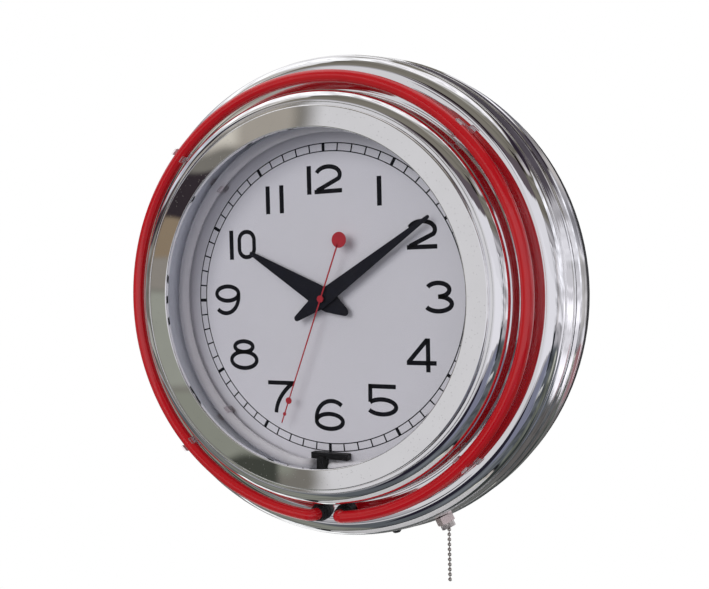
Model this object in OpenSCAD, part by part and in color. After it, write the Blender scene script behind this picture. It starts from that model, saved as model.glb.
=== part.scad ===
// Wall clock with two neon rings: plated stepped case, quartz movement, pull-chain switch.
// The clock is drawn face-on (x right, y up, z out from the wall) and then stood up,
// so that the wall is the plane y = 0, the dial faces -Y and +Z is up.

/* [Case] */
// Radius of the straight side wall, where it meets the front moulding
side_r = 204.5; // [200:0.5:206]
// Radius of the flared rear band of the plated case
flare_r = 207.2; // [207:0.1:212]
// Height of the channel floor above the wall
channel_z = 76; // [74:0.5:80]
// Height of the flat bezel above the wall
bezel_z = 107.5; // [106:0.5:112]
// Wall thickness of the plated case
case_wall = 2.4; // [2:0.1:3]
// Thickness of the rear cover plate
cover_wall = 2.5; // [2:0.5:4]
// Height of the black rim of the rear cover
rim_height = 15; // [13:0.5:16]

/* [Bezel and dial] */
// Radius of the bezel opening
opening_r = 137.5; // [134:0.5:138]
// Outer radius of the flat bezel ring
bezel_r = 155; // [154:0.5:156]
// Radius of the dial disc
dial_r = 149.5; // [146:0.5:150]
// Height of the dial's front face above the wall
dial_z = 66; // [65:0.5:67]

/* [Neon rings] */
// Glass tube radius, for both rings
tube_r = 5; // [4:0.25:5]
// Ring radius of the outer tube
outer_ring_r = 180; // [179:0.5:182]
// Height of the outer tube's centre line above the wall
outer_ring_z = 92.5; // [90:0.5:94]
// Ring radius of the inner tube
inner_ring_r = 143; // [142:0.5:144]
// Height of the inner tube's centre line above the wall
inner_ring_z = 74; // [72:0.5:76]
// Bend radius where the tube ends turn back
bend_r = 6; // [5.5:0.5:7]
// Distance between the two turned-back legs of a ring
leg_gap = 22; // [20:0.5:23]

/* [Hands] */
// Minute hand, centre to tip
minute_len = 116.5; // [100:0.5:118]
// Hour hand, centre to tip
hour_len = 83; // [70:1:95]
// Second hand, centre to tip
second_len = 114; // [100:1:118]
// Second hand, centre to the middle of the counterweight disc
counter_len = 52; // [40:1:60]
// Hours and minutes shown at rest
show_hour = 10; // [0:1:11]
// Minutes shown at rest
show_minute = 9; // [0:1:59]
// Seconds shown at rest
show_second = 33.5; // [0:0.1:59.9]
// How far the hour hand was pushed on away from its true angle, in degrees
hour_slip = -5.1; // [-6:0.1:6]
// How far the minute hand was pushed on away from its true angle, in degrees
minute_slip = -0.85; // [-2:0.05:2]

/* [Pull switch] */
// Clock angle of the switch on the side wall, in degrees from 12
switch_angle = 152.4; // [140:0.1:160]
// Height of the switch axis above the wall
switch_z = 48; // [46:0.5:50]
// Bead diameter of the chain
bead_d = 3.2; // [2.8:0.1:3.2]
// Distance from bead to bead
bead_pitch = 4.2; // [4:0.1:4.4]
// Number of beads in the hanging length
bead_count = 9; // [6:1:12]

/* [Hidden] */

$fn = 64;
eps = 0.01;
fit_gap = 0.05;              // running clearance of every arbor, per side

// Stepped case, outside surface
shoulder_r = 158.1;          // inner edge of the upper quarter-round
shoulder_z = bezel_z - 3.1;  // top of the upper quarter-round
upper_round = 11;
lower_round = 11;
lower_round_r = 190.5;       // inner edge of the lower quarter-round
waist_r = lower_round_r + lower_round;
waist_z = channel_z - lower_round;
groove_z = 38.5;
flare_z = 33;
shell_inner_r = 152.6;

// Glass, and the white pan under it
lens_top = shoulder_z - 0.6;
lens_thick = 2;
reflector_top = lens_top - lens_thick;

// Turned-back tube ends: the rings are turned a little about the clock axis
outer_turn = 2.3;
inner_turn = -2.8;
leg_end_z = 58;
inner_leg_end_z = 50;
leg_overlap = 0.3;
leg_step = 0.1;              // the bent ends are this much slimmer than the ring
boot_r = 7.9;
boot_neck_r = 6.2;
hole_gap = 0.2;

// Clips, by clock angle
clip_angles = [45, 135, 225, 315];
ear_angles = [15, 105, 195, 285];
ear_r = 178;
post_angles = [0, 60, 120, 180, 240, 300];
post_r = 195.5;

// Heights in the movement, measured from the dial's front face
move_front = -4;
move_back = -20.5;
move_size = 56;
move_wall = 1.2;
bushing_r = 4;
bushing_top = 3.5;
second_r = 0.5;
minute_r = 1.7;
hour_r = 2.5;
hour_hand_z = 5.4;
minute_hand_z = 8.4;
second_hand_z = 11.2;
hand_thick = 0.6;
battery_y = -20;
battery_z = -12.3;
arbor_low = -20.3;
arbor_high = -4.8;
arbor_deep = -4.6;           // bottom of the blind bearings in the front plate
battery_r = 7.2;
knob_seat = -25;

// Gear train: tooth counts and modules
pinion_teeth = 12;
motion_teeth = 36;
motion_module = 0.5;
hour_pinion_teeth = 10;
hour_teeth = 40;
hour_module = 0.48;
train_module = 0.3;
seconds_teeth = 60;
step_pinion_teeth = 12;
rotor_module = 0.2;
step_teeth = 60;
rotor_teeth = 10;
mesh_gap = 0.12;
setting_x = -((pinion_teeth + motion_teeth) * motion_module / 2 + mesh_gap);
step_offset = (seconds_teeth + step_pinion_teeth) * train_module / 2 + mesh_gap / 2;
rotor_offset = (step_teeth + rotor_teeth) * rotor_module / 2 + mesh_gap / 2;
train_angle = 45;
step_at = step_offset * [cos(train_angle), sin(train_angle)];
rotor_at = (step_offset + rotor_offset) * [cos(train_angle), sin(train_angle)];

// Clock angles of the hands at rest
true_minute = show_minute * 6 + show_second / 10;
minute_angle = true_minute + minute_slip;
hour_angle = show_hour * 30 + true_minute / 12 + hour_slip;
second_angle = show_second * 6;

// Rear access and hanger
hatch_r = 46;
keyhole_y = 150;
keyhole_r = 5;
keyhole_slot = 2.6;
gland_angle = 205;
gland_z = 9.2;
gland_r = 3.5;
gland_flange_r = 5.9;        // clears the case's rear edge

// Power supply, standing on the rear cover
supply_at = [-62, -92];
supply_size = [84, 50, 26];
supply_turn = 34;
supply_along = [cos(supply_turn), sin(supply_turn)];
supply_feet = [for (side = [-1, 1]) supply_at + side * (supply_size[0] / 2 + 5) * supply_along];

// Terminal posts on the supply's lid, in the row that faces the tube ends
post_height = 5;
post_row = [-18, -6, 6, 18];
lid_top = cover_wall + supply_size[2] + 2.02;

// Switch, measured along its own axis out from the clock axis
switch_inner = 172;
switch_outer = 199;
switch_r = 8.4;
collar_len = 6.4;
bell_len = 4.2;
collar_start = side_r + 0.1;
bell_start = collar_start + collar_len;
mouth = bell_start + bell_len;
chain_x = mouth * sin(switch_angle);
chain_y = mouth * cos(switch_angle);
link_drop = 1.6;             // first bead, below the mouth's centre
knuckle_drop = link_drop + bead_pitch;
chain_drop = knuckle_drop + bead_pitch;

// Screw that holds the switch bracket to the side wall
bracket_screw_angle = 165.3;
bracket_screw_z = 47;

// ---------- helpers ----------

// Stands the face-on drawing up against the wall plane
module stand() {
    rotate([90, 0, 0]) children();
}

// Stands up children whose heights are measured from the dial's front face
module on_dial() {
    stand() translate([0, 0, dial_z]) children();
}

// Places children at a clock angle and radius; their +y points outward
module at_clock(angle, r, z = 0) {
    rotate([0, 0, -angle]) translate([0, r, z]) children();
}

module ring(r_in, r_out, z0, z1) {
    translate([0, 0, z0]) rotate_extrude($fn = 180)
        translate([r_in, 0]) square([r_out - r_in, z1 - z0]);
}

module disc(r, z0, z1) {
    translate([0, 0, z0]) cylinder(r = r, h = z1 - z0, $fn = 64);
}

module box_at(size, at) {
    translate([at[0] - size[0] / 2, at[1] - size[1] / 2, at[2]]) cube(size);
}

// Flat-flanked gear outline; phase is the direction of one tooth's middle
function gear_outline(teeth, module_mm, phase) = [
    for (i = [0:teeth - 1])
        for (corner = [[-0.29, -1.2], [-0.1, 0.85], [0.1, 0.85], [0.29, -1.2]])
            let (r = module_mm * (teeth / 2 + corner[1]),
                 a = phase + (i + corner[0]) * 360 / teeth)
                [r * cos(a), r * sin(a)]
];

module gear(teeth, module_mm, phase, z0, z1) {
    translate([0, 0, z0]) linear_extrude(z1 - z0)
        polygon(gear_outline(teeth, module_mm, phase));
}

// Bezier curve through its first and last control points, and its direction
function mix(p, q, t) = (1 - t) * p + t * q;
function bezier(points, t) = len(points) == 1 ? points[0]
    : bezier([for (i = [0:len(points) - 2]) mix(points[i], points[i + 1], t)], t);
function slope(points, t) = bezier([for (i = [0:len(points) - 2]) points[i + 1] - points[i]], t);
function unit(v) = v / norm(v);

// Insulated lead swept along the curve of its control points; the curve never
// runs along "aside", the direction its sections are squared up from
module lead(route, r = 1.4, aside = [0.83, 0.51, 0.21], rings = 20, sides = 8) {
    points = [
        for (i = [0:rings])
            let (t = i / rings, p = bezier(route, t), d = unit(slope(route, t)),
                 u = unit(cross(d, aside)), v = cross(d, u))
                for (k = [0:sides - 1])
                    p + r * (cos(360 * k / sides) * u + sin(360 * k / sides) * v)
    ];
    skin = [
        for (i = [0:rings - 1])
            for (k = [0:sides - 1])
                let (n = (k + 1) % sides)
                    [i * sides + k, i * sides + n, (i + 1) * sides + n, (i + 1) * sides + k]
    ];
    start_cap = [[for (k = [sides - 1:-1:0]) k]];
    end_cap = [[for (k = [0:sides - 1]) rings * sides + k]];
    polyhedron(points = points, faces = concat(skin, start_cap, end_cap));
}

// Tube ring open at the bottom; both ends bend back towards the wall and run down to end_z
function end_angle(ring_r) = asin((leg_gap / 2 + bend_r) / ring_r);

module turned_leg(r, z0) {
    translate([-leg_overlap, 0, -bend_r]) rotate([90, 0, 0]) difference() {
        rotate_extrude($fn = 48) translate([bend_r, 0]) circle(r = r, $fn = 32);
        translate([-20, -20, -20]) cube([20, 40, 40]);
        translate([-20, -20, -20]) cube([40, 20, 40]);
    }
    translate([bend_r - leg_overlap, 0, z0]) cylinder(r = r, h = -bend_r - z0);
}

module each_end(ring_r, turn) {
    for (side = [0, 1])
        rotate([0, 0, turn]) mirror([side, 0, 0])
            rotate([0, 0, -end_angle(ring_r)]) translate([0, -ring_r, 0]) children();
}

module neon_ring(ring_r, z, r, end_z, turn) {
    translate([0, 0, z]) {
        rotate([0, 0, turn - 90 + end_angle(ring_r)])
            rotate_extrude(angle = 360 - 2 * end_angle(ring_r), $fn = 120)
                translate([ring_r, 0]) circle(r = r, $fn = 32);
        each_end(ring_r, turn) turned_leg(r - leg_step, end_z - z);
    }
}

module at_legs(ring_r, turn) {
    each_end(ring_r, turn) translate([bend_r - leg_overlap, 0, 0]) children();
}

// Spring clip: base on the floor, post, and an open collar around the tube
module tube_clip(floor_z, ring_z) {
    collar = tube_r + 1.5;
    lip = 1.1;
    opening = 3.9;
    difference() {
        union() {
            translate([-3, 0, ring_z]) rotate([0, 90, 0]) cylinder(r = collar, h = 6);
            translate([-3, -1.6, floor_z]) cube([6, 3.2, ring_z - tube_r - floor_z + 0.6]);
            translate([-7, -5, floor_z]) cube([14, 10, 1.6]);
            translate([0, 0, floor_z - 3.6]) cylinder(r = 1.9, h = 4);
            for (side = [-1, 1])
                translate([-3, side * (opening + lip), ring_z + 4.6]) rotate([0, 90, 0])
                    cylinder(r = lip, h = 6);
        }
        translate([-4, 0, ring_z]) rotate([0, 90, 0]) cylinder(r = tube_r + fit_gap, h = 8);
        translate([-4, -opening, ring_z + 1]) cube([8, 2 * opening, 10]);
    }
}

module clip_holes(ring_r, z0, z1) {
    for (a = clip_angles)
        at_clock(a, ring_r, z0) cylinder(r = 2, h = z1 - z0);
}

module pan_head(r, height, z0) {
    translate([0, 0, z0]) {
        cylinder(r = r, h = height * 0.55);
        translate([0, 0, height * 0.55]) cylinder(r1 = r, r2 = r * 0.7, h = height * 0.45);
    }
}

// ---------- case ----------

// Quarter of a disc, for the case's rounded edges
module quarter(r0, z0, r) {
    intersection() {
        translate([r0, z0]) circle(r = r, $fn = 96);
        translate([r0, z0]) square(r);
    }
}

// The case's half-section, filled to the axis; inset draws the inside line
module case_section(inset) {
    t = inset;
    top = shoulder_z - t;
    floor_at = channel_z - t;
    wall_foot = shoulder_r + upper_round + 1.2 - t;
    // raised centre: quarter-round and drafted wall
    square([shoulder_r, top]);
    quarter(shoulder_r, shoulder_z - upper_round, upper_round - t);
    polygon([[0, 0], [wall_foot, 0], [wall_foot, floor_at],
             [shoulder_r + upper_round - t, shoulder_z - upper_round], [0, shoulder_z - upper_round]]);
    // channel floor and lower quarter-round
    square([lower_round_r, floor_at]);
    quarter(lower_round_r, waist_z, lower_round - t);
    square([waist_r - t, waist_z]);
    // small step, side wall and flared rear band
    polygon([[0, 0], [side_r - t, 0], [side_r - t, waist_z - 2], [side_r - 0.8 - t, waist_z - 0.6 - t / 2],
             [0, waist_z - 0.6 - t / 2]]);
    polygon([[0, 0], [side_r + 0.4 - t, 0], [side_r + 0.4 - t, groove_z + 2], [0, groove_z + 2]]);
    polygon([[0, 0], [flare_r - t, 0], [flare_r - t, flare_z - 1.5 * (t > 0 ? 1 : 0)],
             [flare_r - 0.9 - t, flare_z + 1.8 - 1.5 * (t > 0 ? 1 : 0)],
             [side_r + 0.6 - t, groove_z - 1.2 - t / 2], [0, groove_z - 1.2 - t / 2]]);
}

module shell_profile() {
    difference() {
        case_section(0);
        translate([0, -eps]) case_section(case_wall);
        // open centre, and the rear edge stops at the cover's rim
        translate([-1, -1]) square([shell_inner_r + 1, 200]);
        translate([-1, -1]) square([300, rim_height + 1.2]);
    }
}

module groove_cut() {
    translate([0, 0, groove_z]) rotate_extrude($fn = 180)
        translate([side_r + 0.9, 0]) circle(r = 1.1, $fn = 24);
}

module front_shell() {
    ear_foot = dial_z - 1.4;
    color("silver") stand() difference() {
        union() {
            rotate_extrude($fn = 180) shell_profile();
            for (a = post_angles)
                at_clock(a, post_r, cover_wall + 0.1) cylinder(r = 4, h = waist_z + 5 - cover_wall);
            for (a = ear_angles)
                at_clock(a, ear_r, ear_foot) cylinder(r = 3.5, h = channel_z - case_wall + 0.5 - ear_foot);
        }
        groove_cut();
        for (a = post_angles)
            at_clock(a, post_r, 0) cylinder(r = 1.4, h = 20);
        for (a = ear_angles)
            at_clock(a, ear_r, dial_z - 3) cylinder(r = 1.2, h = 10);
        clip_holes(outer_ring_r, channel_z - 5, channel_z + 1);
        at_legs(outer_ring_r, outer_turn)
            translate([0, 0, channel_z - 6]) cylinder(r = boot_neck_r + hole_gap, h = 10);
        at_clock(switch_angle, side_r - 8, switch_z) rotate([-90, 0, 0]) cylinder(r = 5.2, h = 14);
        at_clock(bracket_screw_angle, side_r - 8, bracket_screw_z)
            rotate([-90, 0, 0]) cylinder(r = 1.7, h = 14);
    }
}

module bezel_ring() {
    lip = 1.6;
    color("gainsboro") stand() rotate_extrude($fn = 180) union() {
        translate([opening_r, bezel_z - 2]) square([bezel_r - opening_r, 2]);
        translate([opening_r, lens_top + 0.1]) square([lip, bezel_z - lens_top - 0.1]);
        translate([bezel_r - lip, shoulder_z + 0.1]) square([lip, bezel_z - shoulder_z - 0.1]);
    }
}

module lens() {
    color("white", 0.2) stand() disc(151, reflector_top + 0.05, lens_top);
}

module inner_reflector() {
    floor_bottom = dial_z + move_front;
    floor_top = dial_z - 1.2;
    color("whitesmoke") stand() difference() {
        union() {
            ring(150.2, 152.2, floor_bottom, reflector_top);
            disc(151, floor_bottom, floor_top);
            for (a = ear_angles)
                at_clock(a, 0, floor_bottom) translate([-8, 150, 0]) cube([16, ear_r + 5 - 150, 2.4]);
        }
        disc(bushing_r + 0.2, 0, 90);
        for (a = ear_angles)
            at_clock(a, ear_r, 40) cylinder(r = 1.7, h = 40);
        clip_holes(inner_ring_r, 40, 80);
        at_legs(inner_ring_r, inner_turn) cylinder(r = tube_r + hole_gap, h = 80);
    }
}

module dial() {
    color("white") stand() difference() {
        disc(dial_r, dial_z - 1.15, dial_z);
        disc(bushing_r + 0.2, 0, 90);
        clip_holes(inner_ring_r, 40, 80);
        at_legs(inner_ring_r, inner_turn) cylinder(r = tube_r + hole_gap, h = 80);
    }
}

module back_cover() {
    lip_r = flare_r - 1.2;
    inner_lip = flare_r - case_wall - 0.4;
    color("#151515") stand() difference() {
        union() {
            disc(lip_r, 0, cover_wall);
            ring(lip_r - 2.4, lip_r, 0, rim_height);
            ring(inner_lip - 2, inner_lip, 0, rim_height + 8);
            // collar that seats the hatch
            ring(hatch_r - 3, hatch_r + 3, 1.6, 6);
            at_clock(gland_angle, lip_r - 12, 0) translate([-8, 0, 0]) cube([16, 10, 16]);
        }
        disc(hatch_r - 3, -1, 20);
        disc(hatch_r + 0.15, -1, 1.6 + 0.05);
        at_clock(0, keyhole_y, -1) cylinder(r = keyhole_r, h = 5);
        translate([-keyhole_slot, keyhole_y, -1]) cube([2 * keyhole_slot, 14, 5]);
        at_clock(0, keyhole_y + 14, -1) cylinder(r = keyhole_slot, h = 5);
        for (a = post_angles) {
            at_clock(a, post_r, -1) cylinder(r = 1.7, h = 10);
            at_clock(a, post_r, -1) cylinder(r = 3.6, h = 2.4);
        }
        at_clock(gland_angle, lip_r - 20, gland_z) rotate([-90, 0, 0]) cylinder(r = 5, h = 40);
        // two rows of vent slots either side of the hatch
        for (side = [-1, 1])
            for (i = [-4:4])
                translate([side * 95 - 16, i * 9 - 1.5, -1]) cube([32, 3, 10]);
        for (p = supply_feet)
            translate([p[0], p[1], -1]) cylinder(r = 1.7, h = 10);
    }
}

module battery_hatch() {
    color("#202020") stand() difference() {
        union() {
            disc(hatch_r, 0, 1.6);
            ring(hatch_r - 5.4, hatch_r - 3.2, 1.5, 7.5);
        }
        // two finger notches on the rim
        for (side = [-1, 1])
            translate([side * (hatch_r + 2), 0, -1]) cylinder(r = 6, h = 10);
    }
}

module hanger_plate() {
    thick = 1.5;
    color("darkgray") stand() difference() {
        box_at([46, 44, thick], [0, keyhole_y + 6, cover_wall]);
        at_clock(0, keyhole_y, 0) cylinder(r = keyhole_r, h = 10);
        translate([-keyhole_slot, keyhole_y, 0]) cube([2 * keyhole_slot, 14, 10]);
        at_clock(0, keyhole_y + 14, 0) cylinder(r = keyhole_slot, h = 10);
    }
}

module cord_gland() {
    lip_r = flare_r - 1.2;
    color("#101010") stand() at_clock(gland_angle, lip_r - 14, gland_z) rotate([-90, 0, 0])
        difference() {
            union() {
                cylinder(r = 5, h = 16);
                cylinder(r = gland_flange_r, h = 2);
                translate([0, 0, 14.2]) cylinder(r = gland_flange_r, h = 1.6);
            }
            translate([0, 0, -1]) cylinder(r = gland_r, h = 20);
        }
}

module cover_screws() {
    color("dimgray") stand() for (a = post_angles)
        at_clock(a, post_r, 0) difference() {
            union() {
                translate([0, 0, 0.1]) cylinder(r = 3.2, h = 1.3);
                translate([0, 0, 1]) cylinder(r = 1.4, h = 13);
            }
            translate([0, 0, -0.9]) rotate([0, 0, a + 20]) box_at([4.6, 0.9, 1.8], [0, 0, 0]);
            translate([0, 0, -0.9]) rotate([0, 0, a + 20]) box_at([0.9, 4.6, 1.8], [0, 0, 0]);
        }
}

module reflector_screws() {
    color("silver") stand() for (a = ear_angles)
        at_clock(a, ear_r, 0) {
            translate([0, 0, dial_z + move_front - 1.6]) cylinder(r = 3, h = 1.6);
            translate([0, 0, dial_z + move_front - 0.1]) cylinder(r = 1.2, h = 8);
        }
}

// ---------- neon rings ----------

module outer_neon_tube() {
    color("crimson") stand()
        neon_ring(outer_ring_r, outer_ring_z, tube_r, leg_end_z, outer_turn);
}

module outer_tube_boots() {
    color("#0c0c0c") stand() at_legs(outer_ring_r, outer_turn)
        difference() {
            union() {
                translate([0, 0, leg_end_z - 4]) cylinder(r = boot_neck_r, h = channel_z - leg_end_z + 6);
                translate([0, 0, channel_z + 0.05]) cylinder(r = boot_r, h = 4);
                translate([0, 0, channel_z + 4]) cylinder(r1 = boot_r - 0.6, r2 = boot_neck_r, h = 6);
            }
            translate([0, 0, leg_end_z - 0.01]) cylinder(r = tube_r - leg_step, h = 40);
        }
}

module outer_tube_clips() {
    color("white", 0.5) stand() for (a = clip_angles)
        at_clock(a, outer_ring_r) tube_clip(channel_z, outer_ring_z);
}

module inner_neon_tube() {
    color("white") stand()
        neon_ring(inner_ring_r, inner_ring_z, tube_r - 0.2, inner_leg_end_z, inner_turn);
}

module inner_tube_boots() {
    low = inner_leg_end_z - 3;
    pan_floor = dial_z + move_front;
    color("#0c0c0c") stand() at_legs(inner_ring_r, inner_turn)
        difference() {
            translate([0, 0, low]) cylinder(r = boot_neck_r, h = pan_floor - low - 0.1);
            translate([0, 0, inner_leg_end_z - 0.01]) cylinder(r = tube_r - 0.2 - leg_step, h = 40);
        }
}

module inner_tube_clips() {
    color("white", 0.5) stand() for (a = clip_angles)
        at_clock(a, inner_ring_r) tube_clip(dial_z, inner_ring_z);
}

// T-shaped holder between the inner ring's ends
module tube_end_bracket() {
    bar = [35, 5.6, 7];
    stem_w = 6.4;
    bar_r = inner_ring_r - tube_r - bar[1] / 2 - 1.6;
    color("#101010") stand() translate([2.2, 0, 0]) {
        translate([-bar[0] / 2, -bar_r - bar[1] / 2, dial_z]) cube([bar[0], bar[1], bar[2]]);
        translate([-stem_w / 2 - 7, -149.8, dial_z]) cube([stem_w, 16, bar[2] + 4]);
    }
}

function leg_at(ring_r, turn, side) =
    let (d = side * (leg_gap / 2 + leg_overlap))
        [cos(turn) * d + sin(turn) * ring_r, sin(turn) * d - cos(turn) * ring_r];

function from_supply(p) = [
    supply_at[0] + p[0] * cos(supply_turn) - p[1] * sin(supply_turn),
    supply_at[1] + p[0] * sin(supply_turn) + p[1] * cos(supply_turn),
    p[2]
];
function post_top(i) = from_supply([34, post_row[i], lid_top + post_height]);

// Drops straight out of a tube end, swings through one free point, and drops onto a post
module tube_lead(ring_r, turn, side, from_z, by, post) {
    p = leg_at(ring_r, turn, side);
    start = [p[0], p[1], from_z];
    finish = post_top(post);
    lead([start, start - [0, 0, 9], by, finish + [0, 0, 18], finish]);
}

module outer_tube_leads() {
    color("firebrick") stand() {
        tube_lead(outer_ring_r, outer_turn, 1, leg_end_z - 4, [28, -120, 30], 0);
        tube_lead(outer_ring_r, outer_turn, -1, leg_end_z - 4, [-62, -140, 34], 3);
    }
}

module inner_tube_leads() {
    color("gainsboro") stand() {
        tube_lead(inner_ring_r, inner_turn, 1, inner_leg_end_z - 3, [-8, -112, 40], 1);
        tube_lead(inner_ring_r, inner_turn, -1, inner_leg_end_z - 3, [-40, -112, 40], 2);
    }
}

// ---------- power supply ----------

module supply_frame() {
    translate([supply_at[0], supply_at[1], cover_wall]) rotate([0, 0, supply_turn]) children();
}

module power_supply_box() {
    s = supply_size;
    color("#2b2b2b") stand() supply_frame() difference() {
        union() {
            box_at(s, [0, 0, 0]);
            box_at([s[0] + 20, 12, 2.4], [0, 0, 0]);
        }
        translate([-s[0] / 2 + 2, -s[1] / 2 + 2, 2]) cube([s[0] - 4, s[1] - 4, s[2]]);
        for (side = [-1, 1])
            translate([side * (s[0] / 2 + 5), 0, -1]) cylinder(r = 1.7, h = 6);
    }
}

module power_supply_lid() {
    s = supply_size;
    color("#343434") stand() supply_frame() {
        box_at([s[0], s[1], 2], [0, 0, s[2] + 0.02]);
        for (y = post_row)
            translate([34, y, s[2] + 2]) cylinder(r = 2.6, h = post_height + 0.02);
    }
}

module power_supply_screws() {
    color("silver") stand() for (p = supply_feet)
        translate([p[0], p[1], 0]) {
            translate([0, 0, cover_wall + 2.4]) cylinder(r = 3, h = 1.8);
            translate([0, 0, 0.4]) cylinder(r = 1.6, h = cover_wall + 2.2);
        }
}

module supply_transformer() {
    color("goldenrod") stand() supply_frame() {
        box_at([30, 26, 14], [-18, 0, 2.1]);
        box_at([22, 34, 9], [-18, 0, 4.1]);
    }
}

// ---------- pull switch ----------

// Drawn along the switch axis: +z runs from the clock axis out through the side wall
module on_switch_axis() {
    stand() at_clock(switch_angle, 0, switch_z) rotate([-90, 0, 0]) children();
}

module switch_body() {
    color("#3a2a20") on_switch_axis() difference() {
        union() {
            translate([0, 0, switch_inner]) cylinder(r = switch_r, h = switch_outer - switch_inner);
            // threaded neck through the case wall
            translate([0, 0, switch_outer - 0.01]) cylinder(r = 4.9, h = mouth - switch_outer - 2);
        }
        translate([0, 0, switch_inner + 4]) cylinder(r = switch_r - 2, h = switch_outer - switch_inner - 6);
        translate([0, 0, switch_outer - 4]) cylinder(r = 3.4, h = 30);
    }
}

module switch_cap() {
    color("#201812") on_switch_axis() difference() {
        translate([0, 0, switch_inner - 3]) cylinder(r = switch_r, h = 2.98);
        for (side = [-1, 1])
            translate([side * 4, 0, switch_inner - 4]) cylinder(r = 1.3, h = 6);
    }
}

module switch_cam() {
    color("white") on_switch_axis() translate([0, 0, (switch_inner + switch_outer) / 2 + 1])
        rotate([90, 0, 0]) difference() {
            union() {
                translate([0, 0, -1.6]) cylinder(r = 3.6, h = 3.2);
                translate([-5.2, -1, -1]) cube([5, 2, 2]);
            }
            translate([0, 0, -3]) cylinder(r = 0.8, h = 6);
        }
}

// Six-sided collar nut against the case wall
module switch_collar() {
    corner_r = 13.2 / 2 / cos(30);
    color("rosybrown") on_switch_axis() difference() {
        translate([0, 0, collar_start]) cylinder(r = corner_r, h = collar_len - 0.02, $fn = 6);
        translate([0, 0, collar_start - 1]) cylinder(r = 4.95, h = 20);
    }
}

// Bell mouth that the chain leaves through, flared so that it can hang straight down
module chain_bell() {
    corner_r = 11.6 / 2 / cos(30);
    color("silver") on_switch_axis() difference() {
        translate([0, 0, bell_start]) rotate([0, 0, 30]) cylinder(r = corner_r, h = bell_len, $fn = 6);
        translate([0, 0, bell_start - 1]) cylinder(r = 4.95, h = bell_len - 1);
        translate([0, 0, bell_start - 2]) cylinder(r = 3.4, h = bell_len + 3);
        translate([0, 0, mouth - 1.2]) cylinder(r1 = 3.4, r2 = 5, h = 1.3);
    }
}

module switch_bracket() {
    arm = 46;
    color("darkgray") stand() difference() {
        union() {
            at_clock(switch_angle, switch_outer + 0.05, switch_z)
                translate([-10, 0, -9]) cube([20, 1.4, 18]);
            intersection() {
                ring(200, 201.6, bracket_screw_z - 6, bracket_screw_z + 6);
                at_clock(0.5 * (switch_angle + bracket_screw_angle), 150, 0) translate([-arm / 2 - 6, 0, 0])
                    cube([arm + 12, 80, 90]);
            }
        }
        at_clock(switch_angle, 180, switch_z) rotate([-90, 0, 0]) cylinder(r = 5.2, h = 40);
        at_clock(bracket_screw_angle, 180, bracket_screw_z) rotate([-90, 0, 0]) cylinder(r = 1.3, h = 40);
    }
}

module bracket_screw() {
    color("#141414") stand() at_clock(bracket_screw_angle, 0, bracket_screw_z) rotate([-90, 0, 0])
        difference() {
            union() {
                translate([0, 0, 198]) cylinder(r = 1.25, h = side_r - 198 + 0.5);
                pan_head(3.8, 2.4, side_r + 0.05);
            }
            box_at([8, 0.9, 3], [0, 0, side_r + 1.5]);
        }
}

module switch_leads() {
    inward = -[sin(switch_angle), cos(switch_angle), 0];
    across = [-inward[1], inward[0], 0];
    out_of_box = [cos(supply_turn), sin(supply_turn), 0];
    color("#181818") stand() for (side = [-1, 1]) {
        start = -(switch_inner - 3) * inward + side * 4 * across + [0, 0, switch_z];
        finish = from_supply([supply_size[0] / 2, side * 5, cover_wall + 13]);
        by = [34, -84, 22 + side * 6];
        lead([start, start + 20 * inward, by, finish + 16 * out_of_box, finish], r = 1, aside = [0, 0, 1]);
    }
}

module bead(y) {
    translate([0, y, 0]) sphere(d = bead_d, $fn = 32);
}

module pin(y0, y1) {
    translate([0, y1, 0]) rotate([-90, 0, 0]) cylinder(r = 0.45, h = y0 - y1, $fn = 24);
}

// Children are drawn from the bell mouth, hanging along -y
module hanging() {
    stand() translate([chain_x, chain_y, switch_z]) children();
}

module pull_link() {
    color("silver") hanging() {
        bead(-link_drop);
        pin(3.5, -link_drop);
    }
}

module chain_knuckle() {
    color("silver") hanging() {
        bead(-knuckle_drop);
        pin(-link_drop - bead_d / 2 - 0.1, -knuckle_drop);
    }
}

module pull_chain() {
    last = chain_drop + (bead_count - 1) * bead_pitch;
    color("silver") hanging() {
        for (i = [0:bead_count - 1])
            bead(-chain_drop - i * bead_pitch);
        pin(-knuckle_drop - bead_d / 2 - 0.1, -last);
    }
}

// ---------- movement ----------

module movement_case() {
    h = move_size / 2;
    rear = move_back + move_wall;
    color("#1c1c1c") on_dial() difference() {
        union() {
            translate([-h, -h, rear]) cube([move_size, move_size, move_front - rear]);
            translate([0, 0, move_front - eps]) cylinder(r = bushing_r, h = bushing_top - move_front + eps);
        }
        // wheel chamber
        translate([-h + move_wall, -12, move_back - 1])
            cube([move_size - 2 * move_wall, h + 12 - move_wall, move_front - move_wall - move_back + 1]);
        // battery bay
        translate([-26, battery_y - 7.4, move_back - 1]) cube([52, 14.8, battery_z + 7.4 - move_back + 1]);
        disc(hour_r + fit_gap, move_back - 1, bushing_top + 1);
        translate([setting_x, 0, 0]) disc(0.75 + fit_gap, move_back, arbor_deep);
        translate([step_at[0], step_at[1], 0]) disc(0.4 + fit_gap, move_back, arbor_deep);
        translate([rotor_at[0], rotor_at[1], 0]) disc(0.4 + fit_gap, move_back, arbor_deep);
    }
}

module movement_cover() {
    h = move_size / 2;
    color("#262626") on_dial() difference() {
        translate([-h, -12, move_back]) cube([move_size, h + 12, move_wall - 0.02]);
        disc(second_r + fit_gap, move_back - 1, 0);
        translate([setting_x, 0, 0]) disc(0.75 + fit_gap, move_back - 1, 0);
        translate([step_at[0], step_at[1], 0]) disc(0.4 + fit_gap, move_back - 1, 0);
        translate([rotor_at[0], rotor_at[1], 0]) disc(0.4 + fit_gap, move_back - 1, 0);
    }
}

module movement_washer() {
    color("#0e0e0e") on_dial() ring(bushing_r + 0.02, 8, 0, 0.8);
}

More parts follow.
